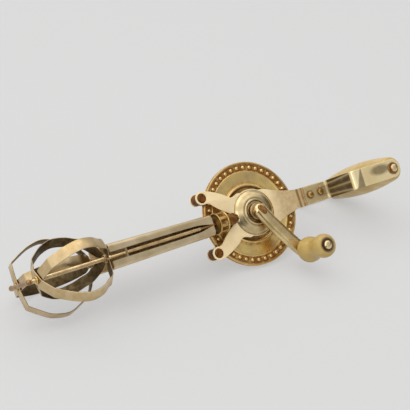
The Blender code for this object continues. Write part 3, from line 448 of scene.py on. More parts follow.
cap_base = AXLE_REAR_END + RUNNING_GAP
cap_edge = cap_base + REAR_CAP_EDGE
cap_profile = [(cap_base, 0.2), (cap_base, REAR_CAP_RADIUS - 0.3), (cap_edge, REAR_CAP_RADIUS)]
cap_profile += dome(cap_edge, REAR_CAP_RADIUS, REAR_CAP_DEPTH - REAR_CAP_EDGE, range(1, 9), 8, 0.15)
put("axle_end_cap", mesh_of(on_axle(turned(cap_profile, 64), 1),
                            lambda x, y, z: 0.7 if y < cap_base + 0.5 else 0.1),
    axle_finish, "crank_wheel", ["rear_axle_cap"], "aged_steel")


# Pinions. Small brass lantern wheels pressed on the spindles: two flanges and, between
# them, a drum with eight hollows that the wheel's beads drop into. The hollows are brown
# with tarnish deepened by painted shade.
PINION_HALF_LENGTH = 3.8
PINION_FLANGE_RADIUS = 7.8
PINION_FLANGE_WIDTH = 1.0
PINION_DRUM_RADIUS = 7.3
PINION_BORE = 1.65
PINION_HOLLOWS = 8
HOLLOW_DEPTH = 1.5
SPINDLE_RADIUS = 1.35
PINION_BRASS = (0.80, 0.57, 0.20)
PINION_SHADE = (0.56, 0.33, 0.08)
HOLLOW_BROWN_AND_SHADE = (0.15, 0.055, 0.010)


def lantern_pinion():
    """The pinion from rows of (along, radius, share of a hollow's depth)."""
    flange = PINION_FLANGE_RADIUS
    rows = [(0.0, PINION_BORE, 0.0), (0.0, 4.4, 0.0), (0.25, 4.8, 0.0), (0.25, 6.6, 0.0), (0.0, 7.0, 0.0),
            (0.0, flange - 0.3, 0.0), (0.12, flange - 0.07, 0.0), (0.4, flange, 0.0),
            (0.75, flange - 0.1, 0.0), (PINION_FLANGE_WIDTH, flange - 0.4, 0.0)]
    ends = [(run - PINION_HALF_LENGTH, radius, dip) for run, radius, dip in rows]
    inside = PINION_HALF_LENGTH - PINION_FLANGE_WIDTH
    rows = list(ends)
    for k in range(9):
        share = -1 + k / 4
        rows.append((inside * share, PINION_DRUM_RADIUS - 0.1, 0.35 + 0.65 * (1.0 - abs(share) ** 3)))
    rows += [(-run, radius, dip) for run, radius, dip in reversed(ends)]

    def spot(angle, run, radius, dip):
        """A point of the pinion, sunk where its angle falls in a hollow."""
        hollow = max(0.0, math.cos(PINION_HOLLOWS * angle) + 0.35) / 1.35
        deep = radius - dip * HOLLOW_DEPTH * hollow ** 0.7
        return run, deep * math.cos(angle), deep * math.sin(angle)

    return ringed(rows, PINION_HOLLOWS * 16, spot, True)


def pinion_tarnish_and_shade(x, y, z):
    """Clean flange edges, brown end faces, and in the hollows tarnish deepened by painted shade, darkest at
    their bottoms.
    """
    radius = math.hypot(y, z)
    if abs(x) > PINION_HALF_LENGTH - PINION_FLANGE_WIDTH - 0.02:
        return 0.1 if radius > PINION_DRUM_RADIUS else 0.65
    return min(1.0, max(0.2, PINION_DRUM_RADIUS - radius + 0.35))


pinion_finish = worn_metal("pinion_brass", PINION_BRASS, PINION_SHADE, HOLLOW_BROWN_AND_SHADE,
                           roughness=(0.2, 0.32), patch=260.0, grain=(40, 40, 40))
for side_name in SIDES:
    put(f"lantern_pinion_{side_name}", mesh_of(lantern_pinion(), pinion_tarnish_and_shade, 45.0), pinion_finish,
        f"{side_name}_beater", [f"pinion_{side_name}"], "gold_brass", spindle_frames[side_name])


# Front and rear plates. Sheet brass stamped with a round hub, two claws for the posts and a
# tail that steps in to the neck; the dished boss is drawn up from the same sheet.
PLATE_INNER_FACE = {"front": 5.5, "rear": 3.2}
PLATE_THICKNESS = 1.0
PLATE_EDGE = 0.22
PLATE_HUB_RADIUS = 17.0
BOSS_BASE_RADIUS = 16.0
BOSS_TOP_RADIUS = 10.8
BOSS_TOP_FACE = 9.9
BOSS_RING_RADIUS = 9.5
BOSS_RING_HEIGHT = 0.7
CLAW_END_RADIUS = {"front": 4.8, "rear": 4.3}
NECK_HALF_WIDTH = 7.0
NECK_INNER_FACE = 0.2
NECK_END_X = 66.6
JOGGLE_START_X = 38.5
JOGGLE_END_X = 46.5
POST_X = -37.61
POST_Z = 20.21
POST_HOLE_RADIUS = 3.5
RIVET_RUN = (53.4, 63.0)
RIVET_HOLE_RADIUS = 1.8
PLATE_BRASS = (1.0, 0.82, 0.50)
PLATE_SHADE = (0.94, 0.74, 0.42)
PLATE_SPOT_AND_SHADE = (0.30, 0.17, 0.05)
BOSS_BRASS = (0.68, 0.54, 0.31)
BOSS_SHADE = (0.50, 0.38, 0.19)
BOSS_SPOTS_AND_SHADE = (0.20, 0.11, 0.04)


def smooth_path(points, per_span):
    """A smooth curve through design points."""
    rows = [Vector(p) for p in points]
    rows = [2 * rows[0] - rows[1], *rows, 2 * rows[-1] - rows[-2]]
    path = []
    for a, b, c, d in zip(rows, rows[1:], rows[2:], rows[3:]):
        for k in range(per_span):
            t = k / per_span
            path.append(0.5 * (2 * b + (c - a) * t + (2 * a - 5 * b + 4 * c - d) * t**2
                               + (3 * b - a - 3 * c + d) * t**3))
    path.append(rows[-2])
    return [tuple(p) for p in path]


def arc(centre, radius, start, end, steps):
    """Points round a centre, from one angle to another in degrees."""
    angles = [math.radians(start + (end - start) * k / steps) for k in range(steps + 1)]
    return [(centre[0] + radius * math.cos(a), centre[1] + radius * math.sin(a)) for a in angles]


def plate_outline(claw_end):
    """Hub, two claws, tail and neck as (x, z), seen from the crank side."""
    claw_outer = [(-8.9, 16.4), (-14.7, 14.9), (-20.0, 18.3), (-27.2, 22.1), (-33.0, 24.3)]
    claw_inner = [(-33.2, 15.3), (-28.8, 11.0), (-24.2, 7.3), (-19.2, 3.8), (-17.4, 0.0)]
    tail = [(JOGGLE_START_X, NECK_HALF_WIDTH), (33.0, 8.0), (26.0, 9.7), (19.5, 11.8), (14.0, 13.9)]
    half = [(NECK_END_X, 0.0), (NECK_END_X, NECK_HALF_WIDTH - 0.6), (NECK_END_X - 0.6, NECK_HALF_WIDTH)]
    half += smooth_path(tail, 6)
    half += arc((0.0, 0.0), PLATE_HUB_RADIUS, 60, 110, 16)
    half += smooth_path(claw_outer, 8)
    half += arc((POST_X, POST_Z), claw_end, 88, 290, 32)
    half += smooth_path(claw_inner, 8)
    return half + [(x, -z) for x, z in reversed(half[1:-1])]


def as_mesh(shown):
    """The mesh of an object with its bevel or its cuts worked out."""
    bpy.context.view_layer.update()
    return bpy.data.meshes.new_from_object(shown.evaluated_get(bpy.context.evaluated_depsgraph_get()))


def sheet_blank(outlines, low, high, edge):
    """A flat blank with rounded edges from an outline and its holes, lying at y low to high."""
    curve = bpy.data.curves.new("blank", "CURVE")
    curve.dimensions = "2D"
    curve.fill_mode = "BOTH"
    curve.extrude = (high - low) / 2 - edge
    curve.bevel_depth = edge
    curve.bevel_resolution = 2
    curve.offset = -edge
    for outline in outlines:
        line = curve.splines.new("POLY")
        line.points.add(len(outline) - 1)
        for point, (x, z) in zip(line.points, outline):
            point.co = (x, z, 0.0, 1.0)
        line.use_cyclic_u = True
    shown = linked("blank", curve)
    flat = as_mesh(shown)
    points = [(v.co.x, (low + high) / 2 - v.co.z, v.co.y) for v in flat.vertices]
    faces = [tuple(p.vertices) for p in flat.polygons]
    bpy.data.objects.remove(shown)
    return points, faces


def sliced(shape, cuts):
    """The same shape with extra edges where it is crossed at each x of the cuts."""
    points, faces = shape
    mesh = bpy.data.meshes.new("slicing")
    mesh.from_pydata(points, [], faces)
    work = bmesh.new()
    work.from_mesh(mesh)
    bmesh.ops.remove_doubles(work, verts=work.verts, dist=0.0005)
    for x in cuts:
        bmesh.ops.bisect_plane(work, geom=work.verts[:] + work.edges[:] + work.faces[:], dist=0.0005,
                               plane_co=(x, 0.0, 0.0), plane_no=(1.0, 0.0, 0.0))
    work.to_mesh(mesh)
    work.free()
    return [tuple(v.co) for v in mesh.vertices], [tuple(p.vertices) for p in mesh.polygons]


def stepped_in(x, inner_face):
    """How far the tail and neck have stepped in towards the wheel's plane at x."""
    share = min(1.0, max(0.0, (x - JOGGLE_START_X + 0.6) / (JOGGLE_END_X - JOGGLE_START_X + 1.2)))
    steeper = min(1.0, max(0.0, (share - 0.5) * 1.18 + 0.5))
    eased = 0.35 * (share * share * (3 - 2 * share)) + 0.65 * steeper
    return (inner_face - NECK_INNER_FACE) * eased


def plate_sheet(side_name):
    """The flat part of a plate, with its holes and the step in the tail."""
    side = SIDES[side_name]
    holes = [arc((0.0, 0.0), BOSS_BASE_RADIUS - 0.6, 0, 352.5, 47)]
    holes += [arc((POST_X, z), POST_HOLE_RADIUS, 0, 345, 23) for z in (POST_Z, -POST_Z)]
    holes += [arc((x, 0.0), RIVET_HOLE_RADIUS, 0, 337.5, 15) for x in RIVET_RUN]
    low = PLATE_INNER_FACE[side_name]
    blank = sheet_blank([plate_outline(CLAW_END_RADIUS[side_name]), *holes], low, low + PLATE_THICKNESS,
                        PLATE_EDGE)
    cuts = [16.0 + 4.0 * k for k in range(6)] + [JOGGLE_START_X - 1.5 + 0.5 * k for k in range(24)]
    points, faces = sliced(blank, cuts)
    return [(x, side * (y - stepped_in(x, low)), z) for x, y, z in points], faces


def plate_boss(side_name):
    """The dished boss, from under the sheet up over its top ring and back down the bore."""
    low = PLATE_INNER_FACE[side_name]
    high = low + PLATE_THICKNESS
    top = BOSS_TOP_FACE
    ring = top + BOSS_RING_HEIGHT
    bore = AXLE_RADIUS + 0.6
    rows = [(low, BOSS_BASE_RADIUS - 0.9), (low + 0.05, BOSS_BASE_RADIUS + 0.1),
            (high - 0.25, BOSS_BASE_RADIUS + 0.7), (high + 0.06, BOSS_BASE_RADIUS + 0.55),
            (high + 0.3, BOSS_BASE_RADIUS - 0.15), (high + 0.47 * (top - high), BOSS_BASE_RADIUS - 1.7),
            (top - 0.7, BOSS_TOP_RADIUS + 1.2), (top - 0.15, BOSS_TOP_RADIUS + 0.2),
            (top, BOSS_TOP_RADIUS - 0.6), (top, BOSS_RING_RADIUS + 0.1),
            (ring - 0.1, BOSS_RING_RADIUS - 0.35), (ring, BOSS_RING_RADIUS - 0.9),
            (ring - 0.1, BOSS_RING_RADIUS - 1.4), (top - 0.15, BOSS_RING_RADIUS - 1.9),
            (top - 0.1, bore + 0.4), (top - 0.4, bore), (top - 1.0, bore),
            (top - 1.0, BOSS_TOP_RADIUS - 0.6), (high + 0.8, BOSS_BASE_RADIUS - 2.4)]
    return on_axle(turned(soften(rows, 0.35, 3, True), 128, True), SIDES[side_name])


def boss_painted_shade(x, y, z):
    """Brown painted shade where the boss meets the sheet, beside its top ring and in its bore, and darker on
    its underside.
    """
    radius = math.hypot(x, z)
    height = abs(y) - PLATE_INNER_FACE["front" if y < 0 else "rear"] - PLATE_THICKNESS
    if radius > 15.7 or 9.5 < radius < 10.2 or radius < 6.3:
        return 0.5
    return 0.75 if height < -0.3 else 0.05


def plate_tail_and_step_shade(x, y, z):
    """The tail is duller than the claws, and the step down to the neck shows brown bands of painted shade.
    """
    share = (x - JOGGLE_START_X) / (JOGGLE_END_X + 2.0 - JOGGLE_START_X)
    # Painted shade in bands across the step.
    if 0.0 < share < 1.0:
        return 0.70 - 0.30 * math.cos(2 * math.pi * share * 1.5)
    return 0.54 * min(1.0, max(0.0, (x - 15.0) / 10.0))


plate_finish = worn_metal("plate_brass", PLATE_BRASS, PLATE_SHADE, PLATE_SPOT_AND_SHADE, roughness=(0.40, 0.52),
                          patch=80.0, grain=(8, 40, 60), scratches=0.3, pits=0.4, spots=0.22,
                          metal=0.08, cloudy=(0.86, 1.12))
boss_finish = worn_metal("boss_brass", BOSS_BRASS, BOSS_SHADE, BOSS_SPOTS_AND_SHADE, roughness=(0.16, 0.26),
                         patch=120.0, grain=(30, 10, 30), spots=0.2)
for side_name in SIDES:
    put(f"plate_sheet_{side_name}", mesh_of(plate_sheet(side_name), plate_tail_and_step_shade), plate_finish, "frame",
        [f"{side_name}_plate"], "pale_brass")
    put(f"plate_boss_{side_name}", mesh_of(plate_boss(side_name), boss_painted_shade, 50.0), boss_finish, "frame",
        [f"{side_name}_plate"], "pale_brass")


# Posts. Two turned brass pins that hold the claws of the plates apart, riveted over at both
# ends into six-sided dimpled heads, and now covered in red brown oxide.
POST_RADIUS = 4.0
POST_JOURNAL_RADIUS = 3.2
POST_HEAD_PROUD = 0.5
POST_BROWN = (0.22, 0.078, 0.010)
POST_SHADE = (0.10, 0.036, 0.010)
POST_GLINT = (0.45, 0.25, 0.08)


def post_end(inner_face):
    """One end of a post as (run, radius, how far six-sided), from its head to its shoulder."""
    shoulder = inner_face - RUNNING_GAP
    end = inner_face + PLATE_THICKNESS + POST_HEAD_PROUD
    return [(end - 0.45, 0.25, 0.0), (end - 0.4, 1.1, 0.0), (end - 0.08, 1.8, 0.3), (end, 2.2, 0.6),
            (end - 0.1, 2.8, 0.8), (end - 0.4, POST_JOURNAL_RADIUS, 1.0),
            (shoulder + 0.02, POST_JOURNAL_RADIUS, 0.2), (shoulder, POST_RADIUS - 0.3, 0.0),
            (shoulder - 0.3, POST_RADIUS, 0.0)]


def post_shape():
    """A whole post along x, from its front head to its rear head."""
    rows = [(-run, radius, six) for run, radius, six in post_end(PLATE_INNER_FACE["front"])]
    rows += reversed(post_end(PLATE_INNER_FACE["rear"]))

    def spot(angle, run, radius, six):
        """A point of the post, drawn in where its row is six-sided."""
        swing = (angle + math.pi / 6) % (math.pi / 3) - math.pi / 6
        flat = min(radius, radius * (1 - six * 0.5 * (1 - 0.93 / math.cos(swing))))
        return run, flat * math.cos(angle), flat * math.sin(angle)

    return ringed(rows, 48, spot)


post_finish = brown_metal("post_oxide", POST_BROWN, POST_SHADE, POST_GLINT)
for name, z in (("upper", POST_Z), ("lower", -POST_Z)):
    put(f"claw_post_{name}", mesh_of(on_axle(post_shape(), 1, (POST_X, z))), post_finish, "frame",
        [f"post_{name}"], "brown_oxide")


# Spindle bushes. Short turned sleeves let into the flank of each boss, in which the wheel
# end of each spindle runs; mottled brown with rubbed brass showing, and a rounded end.
BUSH_RADIUS = 4.2
BUSH_START = 4.4
BUSH_END = 14.1
BUSH_BROWN = (0.26, 0.11, 0.026)
BUSH_SHADE = (0.12, 0.045, 0.010)
BUSH_GLINT = (0.56, 0.34, 0.11)
bush_bore = SPINDLE_RADIUS + RUNNING_GAP
bush_profile = [(BUSH_START, bush_bore), (BUSH_START, BUSH_RADIUS - 0.5), (BUSH_START + 0.5, BUSH_RADIUS),
                (BUSH_END - 1.8, BUSH_RADIUS), (BUSH_END - 0.7, BUSH_RADIUS - 0.5),
                (BUSH_END, BUSH_RADIUS - 1.4), (BUSH_END, bush_bore)]
bush_finish = brown_metal("bush_brown", BUSH_BROWN, BUSH_SHADE, BUSH_GLINT, roughness=(0.3, 0.5),
                          patch=420.0)
for side_name in SIDES:
    put(f"spindle_sleeve_{side_name}", mesh_of(turned(soften(bush_profile, 0.5, 3, True), 64, True)),
        bush_finish, "frame", [f"spindle_bush_{side_name}"], "brown_oxide", spindle_frames[side_name])


# Sheath. One tapered sleeve of thin plated sheet bent round both spindles, open along a
# long pointed slot in its near face; the plating is worn to a dull grey gold.
SHEATH_LOW_X = -122.5
SHEATH_HIGH_X = -38.8
SHEATH_HALF_Y = (17.4, 12.4)
SHEATH_HALF_Z = (8.9, 7.4)
SHEATH_WALL = 0.9
SHEATH_CORNER = 2.6
TONGUE_LENGTH = 2.3
TONGUE_HALF_WIDTH = 7.5
NEAR_WALL = (-19.0, -9.0)
SLOT_HALF_Z = 3.1
SHEATH_STEEL = (0.70, 0.57, 0.37)
SHEATH_SHADE = (0.50, 0.39, 0.22)
SHEATH_FLECKS_AND_INSIDE_LIGHT = (0.80, 0.62, 0.34)
SHEATH_GRIME = (0.17, 0.10, 0.045)


def sheath_half(x):
    """Half the sleeve's width and half its thickness at x."""
    share = (x - SHEATH_LOW_X) / (SHEATH_HIGH_X - SHEATH_LOW_X)
    return [low + (high - low) * share for low, high in (SHEATH_HALF_Y, SHEATH_HALF_Z)]


def rounded_box(wide, deep, radius, corner_steps, flat_steps=1):
    """A rounded rectangle by its half sizes; its two long sides can have points in between."""
    section = []
    for turn_w, turn_d, start in ((1, 1, 0), (-1, 1, 90), (-1, -1, 180), (1, -1, 270)):
        middle = (turn_w * (wide - radius), turn_d * (deep - radius))
        section += arc(middle, radius, start, start + 90, corner_steps)
        if turn_w == turn_d:
            section += [(middle[0] * (1 - 2 * k / flat_steps), turn_d * deep)
                        for k in range(1, flat_steps)]
    return section


def sheath_ring(x, inset):
    """A ring round the sheath, inset from its outer skin."""
    half_y, half_z = sheath_half(x)
    box = rounded_box(half_y - inset, half_z - inset, SHEATH_CORNER - inset, 8)
    return [(x, y, z) for y, z in box]


def cut_away(mesh, *tools):
    """The mesh with other closed shapes cut out of it."""
    made = [linked("cutting", mesh)]
    for shape in tools:
        made.append(linked("cutter", mesh_of(shape)))
        step = made[0].modifiers.new("cut", "BOOLEAN")
        step.operation = "DIFFERENCE"
        step.solver = "EXACT"
        step.object = made[-1]
    result = as_mesh(made[0])
    for o in made:
        bpy.data.objects.remove(o)
    result.set_sharp_from_angle(angle=math.radians(38))
    return result


def prism(outline, low, high):
    """An (x, z) outline raised along y."""
    return loft([[(x, low, z) for x, z in outline], [(x, high, z) for x, z in outline]])


def sheath_shape():
    """The sleeve's skin, outside and in; its near wall runs out to a short tongue."""
    stops = [(SHEATH_LOW_X, 0.25), (SHEATH_LOW_X + 0.3, 0.0), (SHEATH_HIGH_X - 0.3, 0.0),
             (SHEATH_HIGH_X, 0.25)]
    outer = [sheath_ring(x, inset) for x, inset in stops]
    inner = [sheath_ring(x, SHEATH_WALL - (0.2 if inset else 0.0)) for x, inset in reversed(stops)]
    points, faces = loft(outer + inner, True)
    return [(x + TONGUE_LENGTH * max(0.0, 1 - abs(z) / TONGUE_HALF_WIDTH)
             if x > SHEATH_HIGH_X - 1 and y < NEAR_WALL[1] else x, y, z) for x, y, z in points], faces


def sheath_inside_light(x, y, z):
    """Marks the points inside the sleeve, which get a lighter colour as painted light."""
    half_y, half_z = sheath_half(x)
    return 1.0 if abs(y) < half_y - 0.5 and abs(z) < half_z - 0.5 else 0.0


slot_end = SHEATH_HIGH_X + 0.9
slot_edge = smooth_path([(SHEATH_LOW_X - 1.0, SLOT_HALF_Z), (SHEATH_LOW_X + 40.0, SLOT_HALF_Z * 0.98),
                         (slot_end - 16.0, SLOT_HALF_Z * 0.86), (slot_end - 7.0, SLOT_HALF_Z * 0.52),
                         (slot_end - 2.0, 0.7), (slot_end, 0.15)], 8)
slot_edge += [(x, -z) for x, z in reversed(slot_edge)]
# Inside the sleeve the colour is lighter and barely metallic, as painted light for light bounced about
# inside it.
sheath_finish = worn_metal("sheath_plating", SHEATH_STEEL, SHEATH_SHADE, SHEATH_FLECKS_AND_INSIDE_LIGHT,
                           roughness=(0.30, 0.42), patch=70.0, grain=(4, 60, 60), scratches=0.5,
                           spots=0.2, metal=0.8, dull=0.1)
put("sheath_sleeve", cut_away(mesh_of(sheath_shape(), sheath_inside_light), prism(slot_edge, *NEAR_WALL)),
    sheath_finish, "frame", ["sheath"], "aged_steel")


# Cross plates in the sheath. Small steel plates inside its two ends that steady the spindles;
# hardly seen, so plain, and coloured dark as painted shade inside the sheath.
WEB_SHADED_STEEL = (0.34, 0.25, 0.13)
WEB_SHADE = (0.26, 0.18, 0.09)
web_finish = worn_metal("cross_plate_shaded_steel", WEB_SHADED_STEEL, WEB_SHADE, SHEATH_GRIME, roughness=(0.4, 0.55),
                        patch=150.0, grain=(20, 20, 20), marked=False, metal=0.3)
for name in ("sheath_web_lower", "sheath_web_upper"):
    node = frame["nodes"][name]
    node.data.materials.clear()
    node.data.materials.append(web_finish)


# Spindles. Drawn steel rods from the foot bar to each bush, turned down at the foot. The part
# that runs inside the sheath carries a fine rolled thread, which shows in the slot.
SPINDLE_SHOULDER = 149.08
SPINDLE_END = 150.98
SPINDLE_PIVOT_RADIUS = 0.7
TIP_REACH = {"front": 145.07, "rear": 147.28}
THREAD_FROM = -76.6
THREAD_TO = -18.0
THREAD_RISE = 0.4
THREAD_PITCH = 1.45
THREAD_DEPTH = 0.16
SPINDLE_STEEL = (0.72, 0.54, 0.30)
SPINDLE_SHADE = (0.50, 0.35, 0.17)


def spindle_shape():
    """A spindle from its foot to its bush, with the thread's crests in between."""
    crest = SPINDLE_RADIUS + THREAD_RISE
    profile = [(-SPINDLE_END, 0.1), (-SPINDLE_END, SPINDLE_PIVOT_RADIUS - 0.15),
               (-SPINDLE_END + 0.2, SPINDLE_PIVOT_RADIUS), (-SPINDLE_SHOULDER, SPINDLE_PIVOT_RADIUS),
               (-SPINDLE_SHOULDER + 0.02, SPINDLE_RADIUS - 0.2), (-SPINDLE_SHOULDER + 0.3, SPINDLE_RADIUS),
               (THREAD_FROM, SPINDLE_RADIUS)]
    run = THREAD_FROM
    while run < THREAD_TO:
        profile += [(run + THREAD_PITCH * 0.3, crest), (run + THREAD_PITCH * 0.55, crest - THREAD_DEPTH),
                    (run + THREAD_PITCH * 0.8, crest)]
        run += THREAD_PITCH
    profile += [(run + THREAD_PITCH * 0.3, SPINDLE_RADIUS), (BUSH_END, SPINDLE_RADIUS),
                (BUSH_END + 0.3, SPINDLE_RADIUS - 0.3)]
    return turned(profile, 28)


spindle_finish = worn_metal("spindle_steel", SPINDLE_STEEL, SPINDLE_SHADE, SHEATH_GRIME,
                            roughness=(0.22, 0.34), patch=180.0, grain=(4, 60, 60), marked=False)
for side_name in SIDES:
    put(f"spindle_rod_{side_name}", mesh_of(spindle_shape(), None, 50.0), spindle_finish,
        f"{side_name}_beater", [f"spindle_{side_name}"], "aged_steel", spindle_frames[side_name])


# Beater loops. Each beater is two flat strips of spring steel bent to a cage and crossed at
# the tip, the second inside the first. The plating is dull, with painted shade on the inner sides.
BLADE_HALF_WIDTH = 3.9
BLADE_END_HALF_WIDTH = 2.2
BLADE_THICKNESS = 0.8
BLADE_TAPER = 0.45
NOSE_BEND_RADIUS = 0.7
CAGE_LENGTH = 51.0
CAGE_RADIUS = {"front": 28.2, "rear": 26.75}
CAGE_TURNS = {"front": (46.5, 152.3), "rear": (75.8, 169.7)}
CAGE_LEAN = {"front": 0.0, "rear": 0.059}
CAGE_STATIONS = (0.882, 0.784, 0.667, 0.49, 0.314, 0.186)
CAGE_FULLNESS = {"front": (0.66, 0.785, 0.93, 1.0, 0.89, 0.72),
                 "rear": (0.576, 0.766, 0.878, 1.0, 0.96, 0.857)}
NOSE = {"front": (4.2, 15.7), "rear": (1.0, 16.0)}
TIP_BEYOND = {"front": 0.0, "rear": 2.2}
CAGE_FLAT_HALF = 5.4
LOOP_INSIDE = 1.1
HUB_RADIUS = 2.9
LOOP_CLEAR_OF_HUB = 0.7
BLADE_STEEL = (0.69, 0.53, 0.31)
BLADE_SHADE = (0.50, 0.36, 0.17)
BLADE_SPOTS_AND_INNER_SHADE = (0.065, 0.040, 0.014)


def bar(path, half_widths, thickness, edge=0.22, corner_steps=2, lift=None, flat_steps=2):
    """A flat bar with rounded edges along a path in the xy plane, its width along z."""
    rings = []
    rows = [Vector((p[0], p[1])) for p in path]
    t = thickness / 2
    for i, here in enumerate(rows):
        run = (rows[min(i + 1, len(rows) - 1)] - rows[max(i - 1, 0)]).normalized()
        normal = Vector((-run.y, run.x))
        w = half_widths[i]
        ring = []
        for over, deep in rounded_box(w, t, min(edge, 0.9 * t, 0.9 * w), corner_steps, flat_steps):
            spot = here + normal * (deep + (lift(over / w, here) if lift else 0.0))
            ring.append((spot.x, spot.y, over))
        rings.append(ring)
    return loft(rings)


def loop_side(name, size):
    """Half of a loop, from the collar round the bulge to the bend at its nose."""
    top = CAGE_LENGTH + TIP_BEYOND[name]
    ends = HUB_RADIUS + LOOP_CLEAR_OF_HUB
    design = [(top - 0.1, ends), (top - 1.8, ends + 4.0)]
    for run, out in zip(CAGE_STATIONS, CAGE_FULLNESS[name]):
        design.append((run * CAGE_LENGTH + TIP_BEYOND[name], out * CAGE_RADIUS[name] * size))
    return smooth_path([*design, NOSE[name]], 8)


def beater_loop(name, inward, lean):
    """One strip bent to a loop; it narrows to its ends and has crisp bends at the nose."""
    tip = TIP_REACH[name]
    first, second = [[(run - tip + inward * max(0.0, 1.0 - 2 * run / CAGE_LENGTH), radius)
                      for run, radius in loop_side(name, size)] for size in (1.0 - lean, 1.0 + lean)]
    path = first + [(inward - tip, CAGE_FLAT_HALF), (inward - tip, -CAGE_FLAT_HALF)]
    path += [(run, -radius) for run, radius in reversed(second)]
    nose_at = len(first) - 1
    rounded = []
    for i, corner in enumerate(path):
        if i in range(nose_at, nose_at + 4):
            rounded += soften([path[i - 1], corner, path[i + 1]], NOSE_BEND_RADIUS, 4)[1:-1]
        else:
            rounded.append(corner)
    ends = HUB_RADIUS + LOOP_CLEAR_OF_HUB
    widths = [min(BLADE_HALF_WIDTH, BLADE_END_HALF_WIDTH + BLADE_TAPER * (abs(radius) - ends))
              if run > 6.0 - tip else BLADE_HALF_WIDTH for run, radius in rounded]
    return bar(rounded, widths, BLADE_THICKNESS, 0.2)


def turned_by(shape, degrees):
    """The shape turned about its x line."""
    points, faces = shape
    turn = Matrix.Rotation(math.radians(degrees), 3, "X")
    return [tuple(turn @ Vector(p)) for p in points], faces


STRIP_AROUND = 14
blade_finish = worn_metal("blade_plating", BLADE_STEEL, BLADE_SHADE, BLADE_SPOTS_AND_INNER_SHADE, roughness=(0.24, 0.38),
                          patch=90.0, grain=(50, 50, 50), scratches=0.3, spots=0.12, dull=0.95,
                          cloudy=(0.92, 1.06))
for side_name in SIDES:
    for letter, inward, turn, lean in zip("ab", (0.0, LOOP_INSIDE), CAGE_TURNS[side_name],
                                          (CAGE_LEAN[side_name], 0.0)):
        loop = turned_by(beater_loop(side_name, inward, lean), turn)
        # Painted shade on each strip's inner side: half of every ring of points is marked dark.
        inner_shade_marks = [0.85 if i % STRIP_AROUND < STRIP_AROUND / 2 else 0.06 for i in range(len(loop[0]))]
        put(f"beater_strip_{side_name}_{letter}", mesh_of(loop, inner_shade_marks, 40.0), blade_finish,
            f"{side_name}_beater", [f"beater_{side_name}_loop_{letter}"], "aged_steel",
            spindle_frames[side_name])


# Eyelets and collars. A rolled brass eyelet clamps the crossed strips at each tip, and a
# small steel collar on the spindle holds their upper ends.
EYELET_RADIUS = 3.0
EYELET_LENGTH = 1.1
HUB_LENGTH = 3.2
EYELET_BRASS = (0.78, 0.60, 0.26)
eyelet_finish = worn_metal("eyelet_brass", EYELET_BRASS, PINION_SHADE, TARNISH, roughness=(0.16, 0.28),
                           patch=300.0, grain=(20, 20, 20), marked=False)
for side_name in SIDES:
    outside = -TIP_REACH[side_name] - BLADE_THICKNESS / 2 - 0.3
    bore = SPINDLE_RADIUS + RUNNING_GAP
    eyelet = [(outside - 0.55, bore), (outside - EYELET_LENGTH, bore + 0.55),
              (outside - EYELET_LENGTH + 0.1, EYELET_RADIUS - 0.5), (outside - 0.45, EYELET_RADIUS),
              (outside, EYELET_RADIUS - 0.1), (outside, bore)]
    low = CAGE_LENGTH - TIP_REACH["front"] - 1.4
    collar = [(low, bore), (low, HUB_RADIUS), (low + HUB_LENGTH, HUB_RADIUS), (low + HUB_LENGTH, bore)]
    for name, profile, rounding, finish, node, slot in (
            ("tip_eyelet_ring", eyelet, 0.4, eyelet_finish, "tip_eyelet", "gold_brass"),
            ("beater_collar", collar, 0.5, spindle_finish, "beater_hub", "aged_steel")):
        put(f"{name}_{side_name}", mesh_of(turned(soften(profile, rounding, 3, True), 40, True)), finish,
            f"{side_name}_beater", [f"{node}_{side_name}"], slot, spindle_frames[side_name])


# Foot bar. A round plated bar across both spindles beyond the beaters' tips, which keeps them
# apart; each end is swelled to an eye in which a spindle's turned down end runs.
FOOT_BAR_X = -182.7
FOOT_BAR_RADIUS = 1.5
FOOT_BAR_EYE_RADIUS = 1.9
FOOT_BAR_EYE_OUT = 16.8
FOOT_BAR_PLATING = (0.46, 0.28, 0.13)
FOOT_BAR_SHADE = (0.30, 0.17, 0.07)
foot_half = [(FOOT_BAR_EYE_OUT + 1.7, 0.3), (FOOT_BAR_EYE_OUT + 1.6, 0.9), (FOOT_BAR_EYE_OUT + 1.1, 1.6),
             (FOOT_BAR_EYE_OUT + 0.2, FOOT_BAR_EYE_RADIUS),
             (FOOT_BAR_EYE_OUT - 1.6, FOOT_BAR_EYE_RADIUS - 0.05),
             (FOOT_BAR_EYE_OUT - 2.6, FOOT_BAR_RADIUS + 0.12), (FOOT_BAR_EYE_OUT - 3.6, FOOT_BAR_RADIUS)]
foot_profile = soften([(-out, radius) for out, radius in foot_half] + foot_half[::-1], 0.4)
foot_finish = worn_metal("foot_bar_plating", FOOT_BAR_PLATING, FOOT_BAR_SHADE, SHEATH_GRIME,
                         roughness=(0.26, 0.4), patch=240.0, grain=(20, 60, 20), marked=False)
put("foot_bar_rod", mesh_of(on_axle(turned(foot_profile, 40), 1, (FOOT_BAR_X, 0.0))), foot_finish,
    "frame", ["foot_bar"], "aged_steel")


# Handle straps. Two flat brass bars riveted to the neck; each bends outward as a fluted leg,
# folds over and lies polished across the end of the grip.
STRAP_THICKNESS = 1.2
STRAP_HALF_WIDTH = 6.8
STRAP_START_X = 49.0
STRAP_LEG_X = 69.1
STRAP_LEG_LEAN = 1.4
STRAP_BEND_RADIUS = 3.6
GRIP_X = 104.8
GRIP_HALF_LENGTH = 38.6
GRIP_BORE = 2.3
STRAP_NECK = 2.1
STRAP_OUTER = 39.5
STRAP_BRASS = (0.98, 0.83, 0.50)
STRAP_SHADE = (0.86, 0.68, 0.36)
STRAP_BROWN_AND_SHADE = (0.085, 0.048, 0.010)


def up_leg(depth, margin):
    """How far up the leg a depth lies, between margins from its two bends."""
    return (depth - STRAP_NECK - margin) / (STRAP_OUTER - STRAP_NECK - 2 * margin)


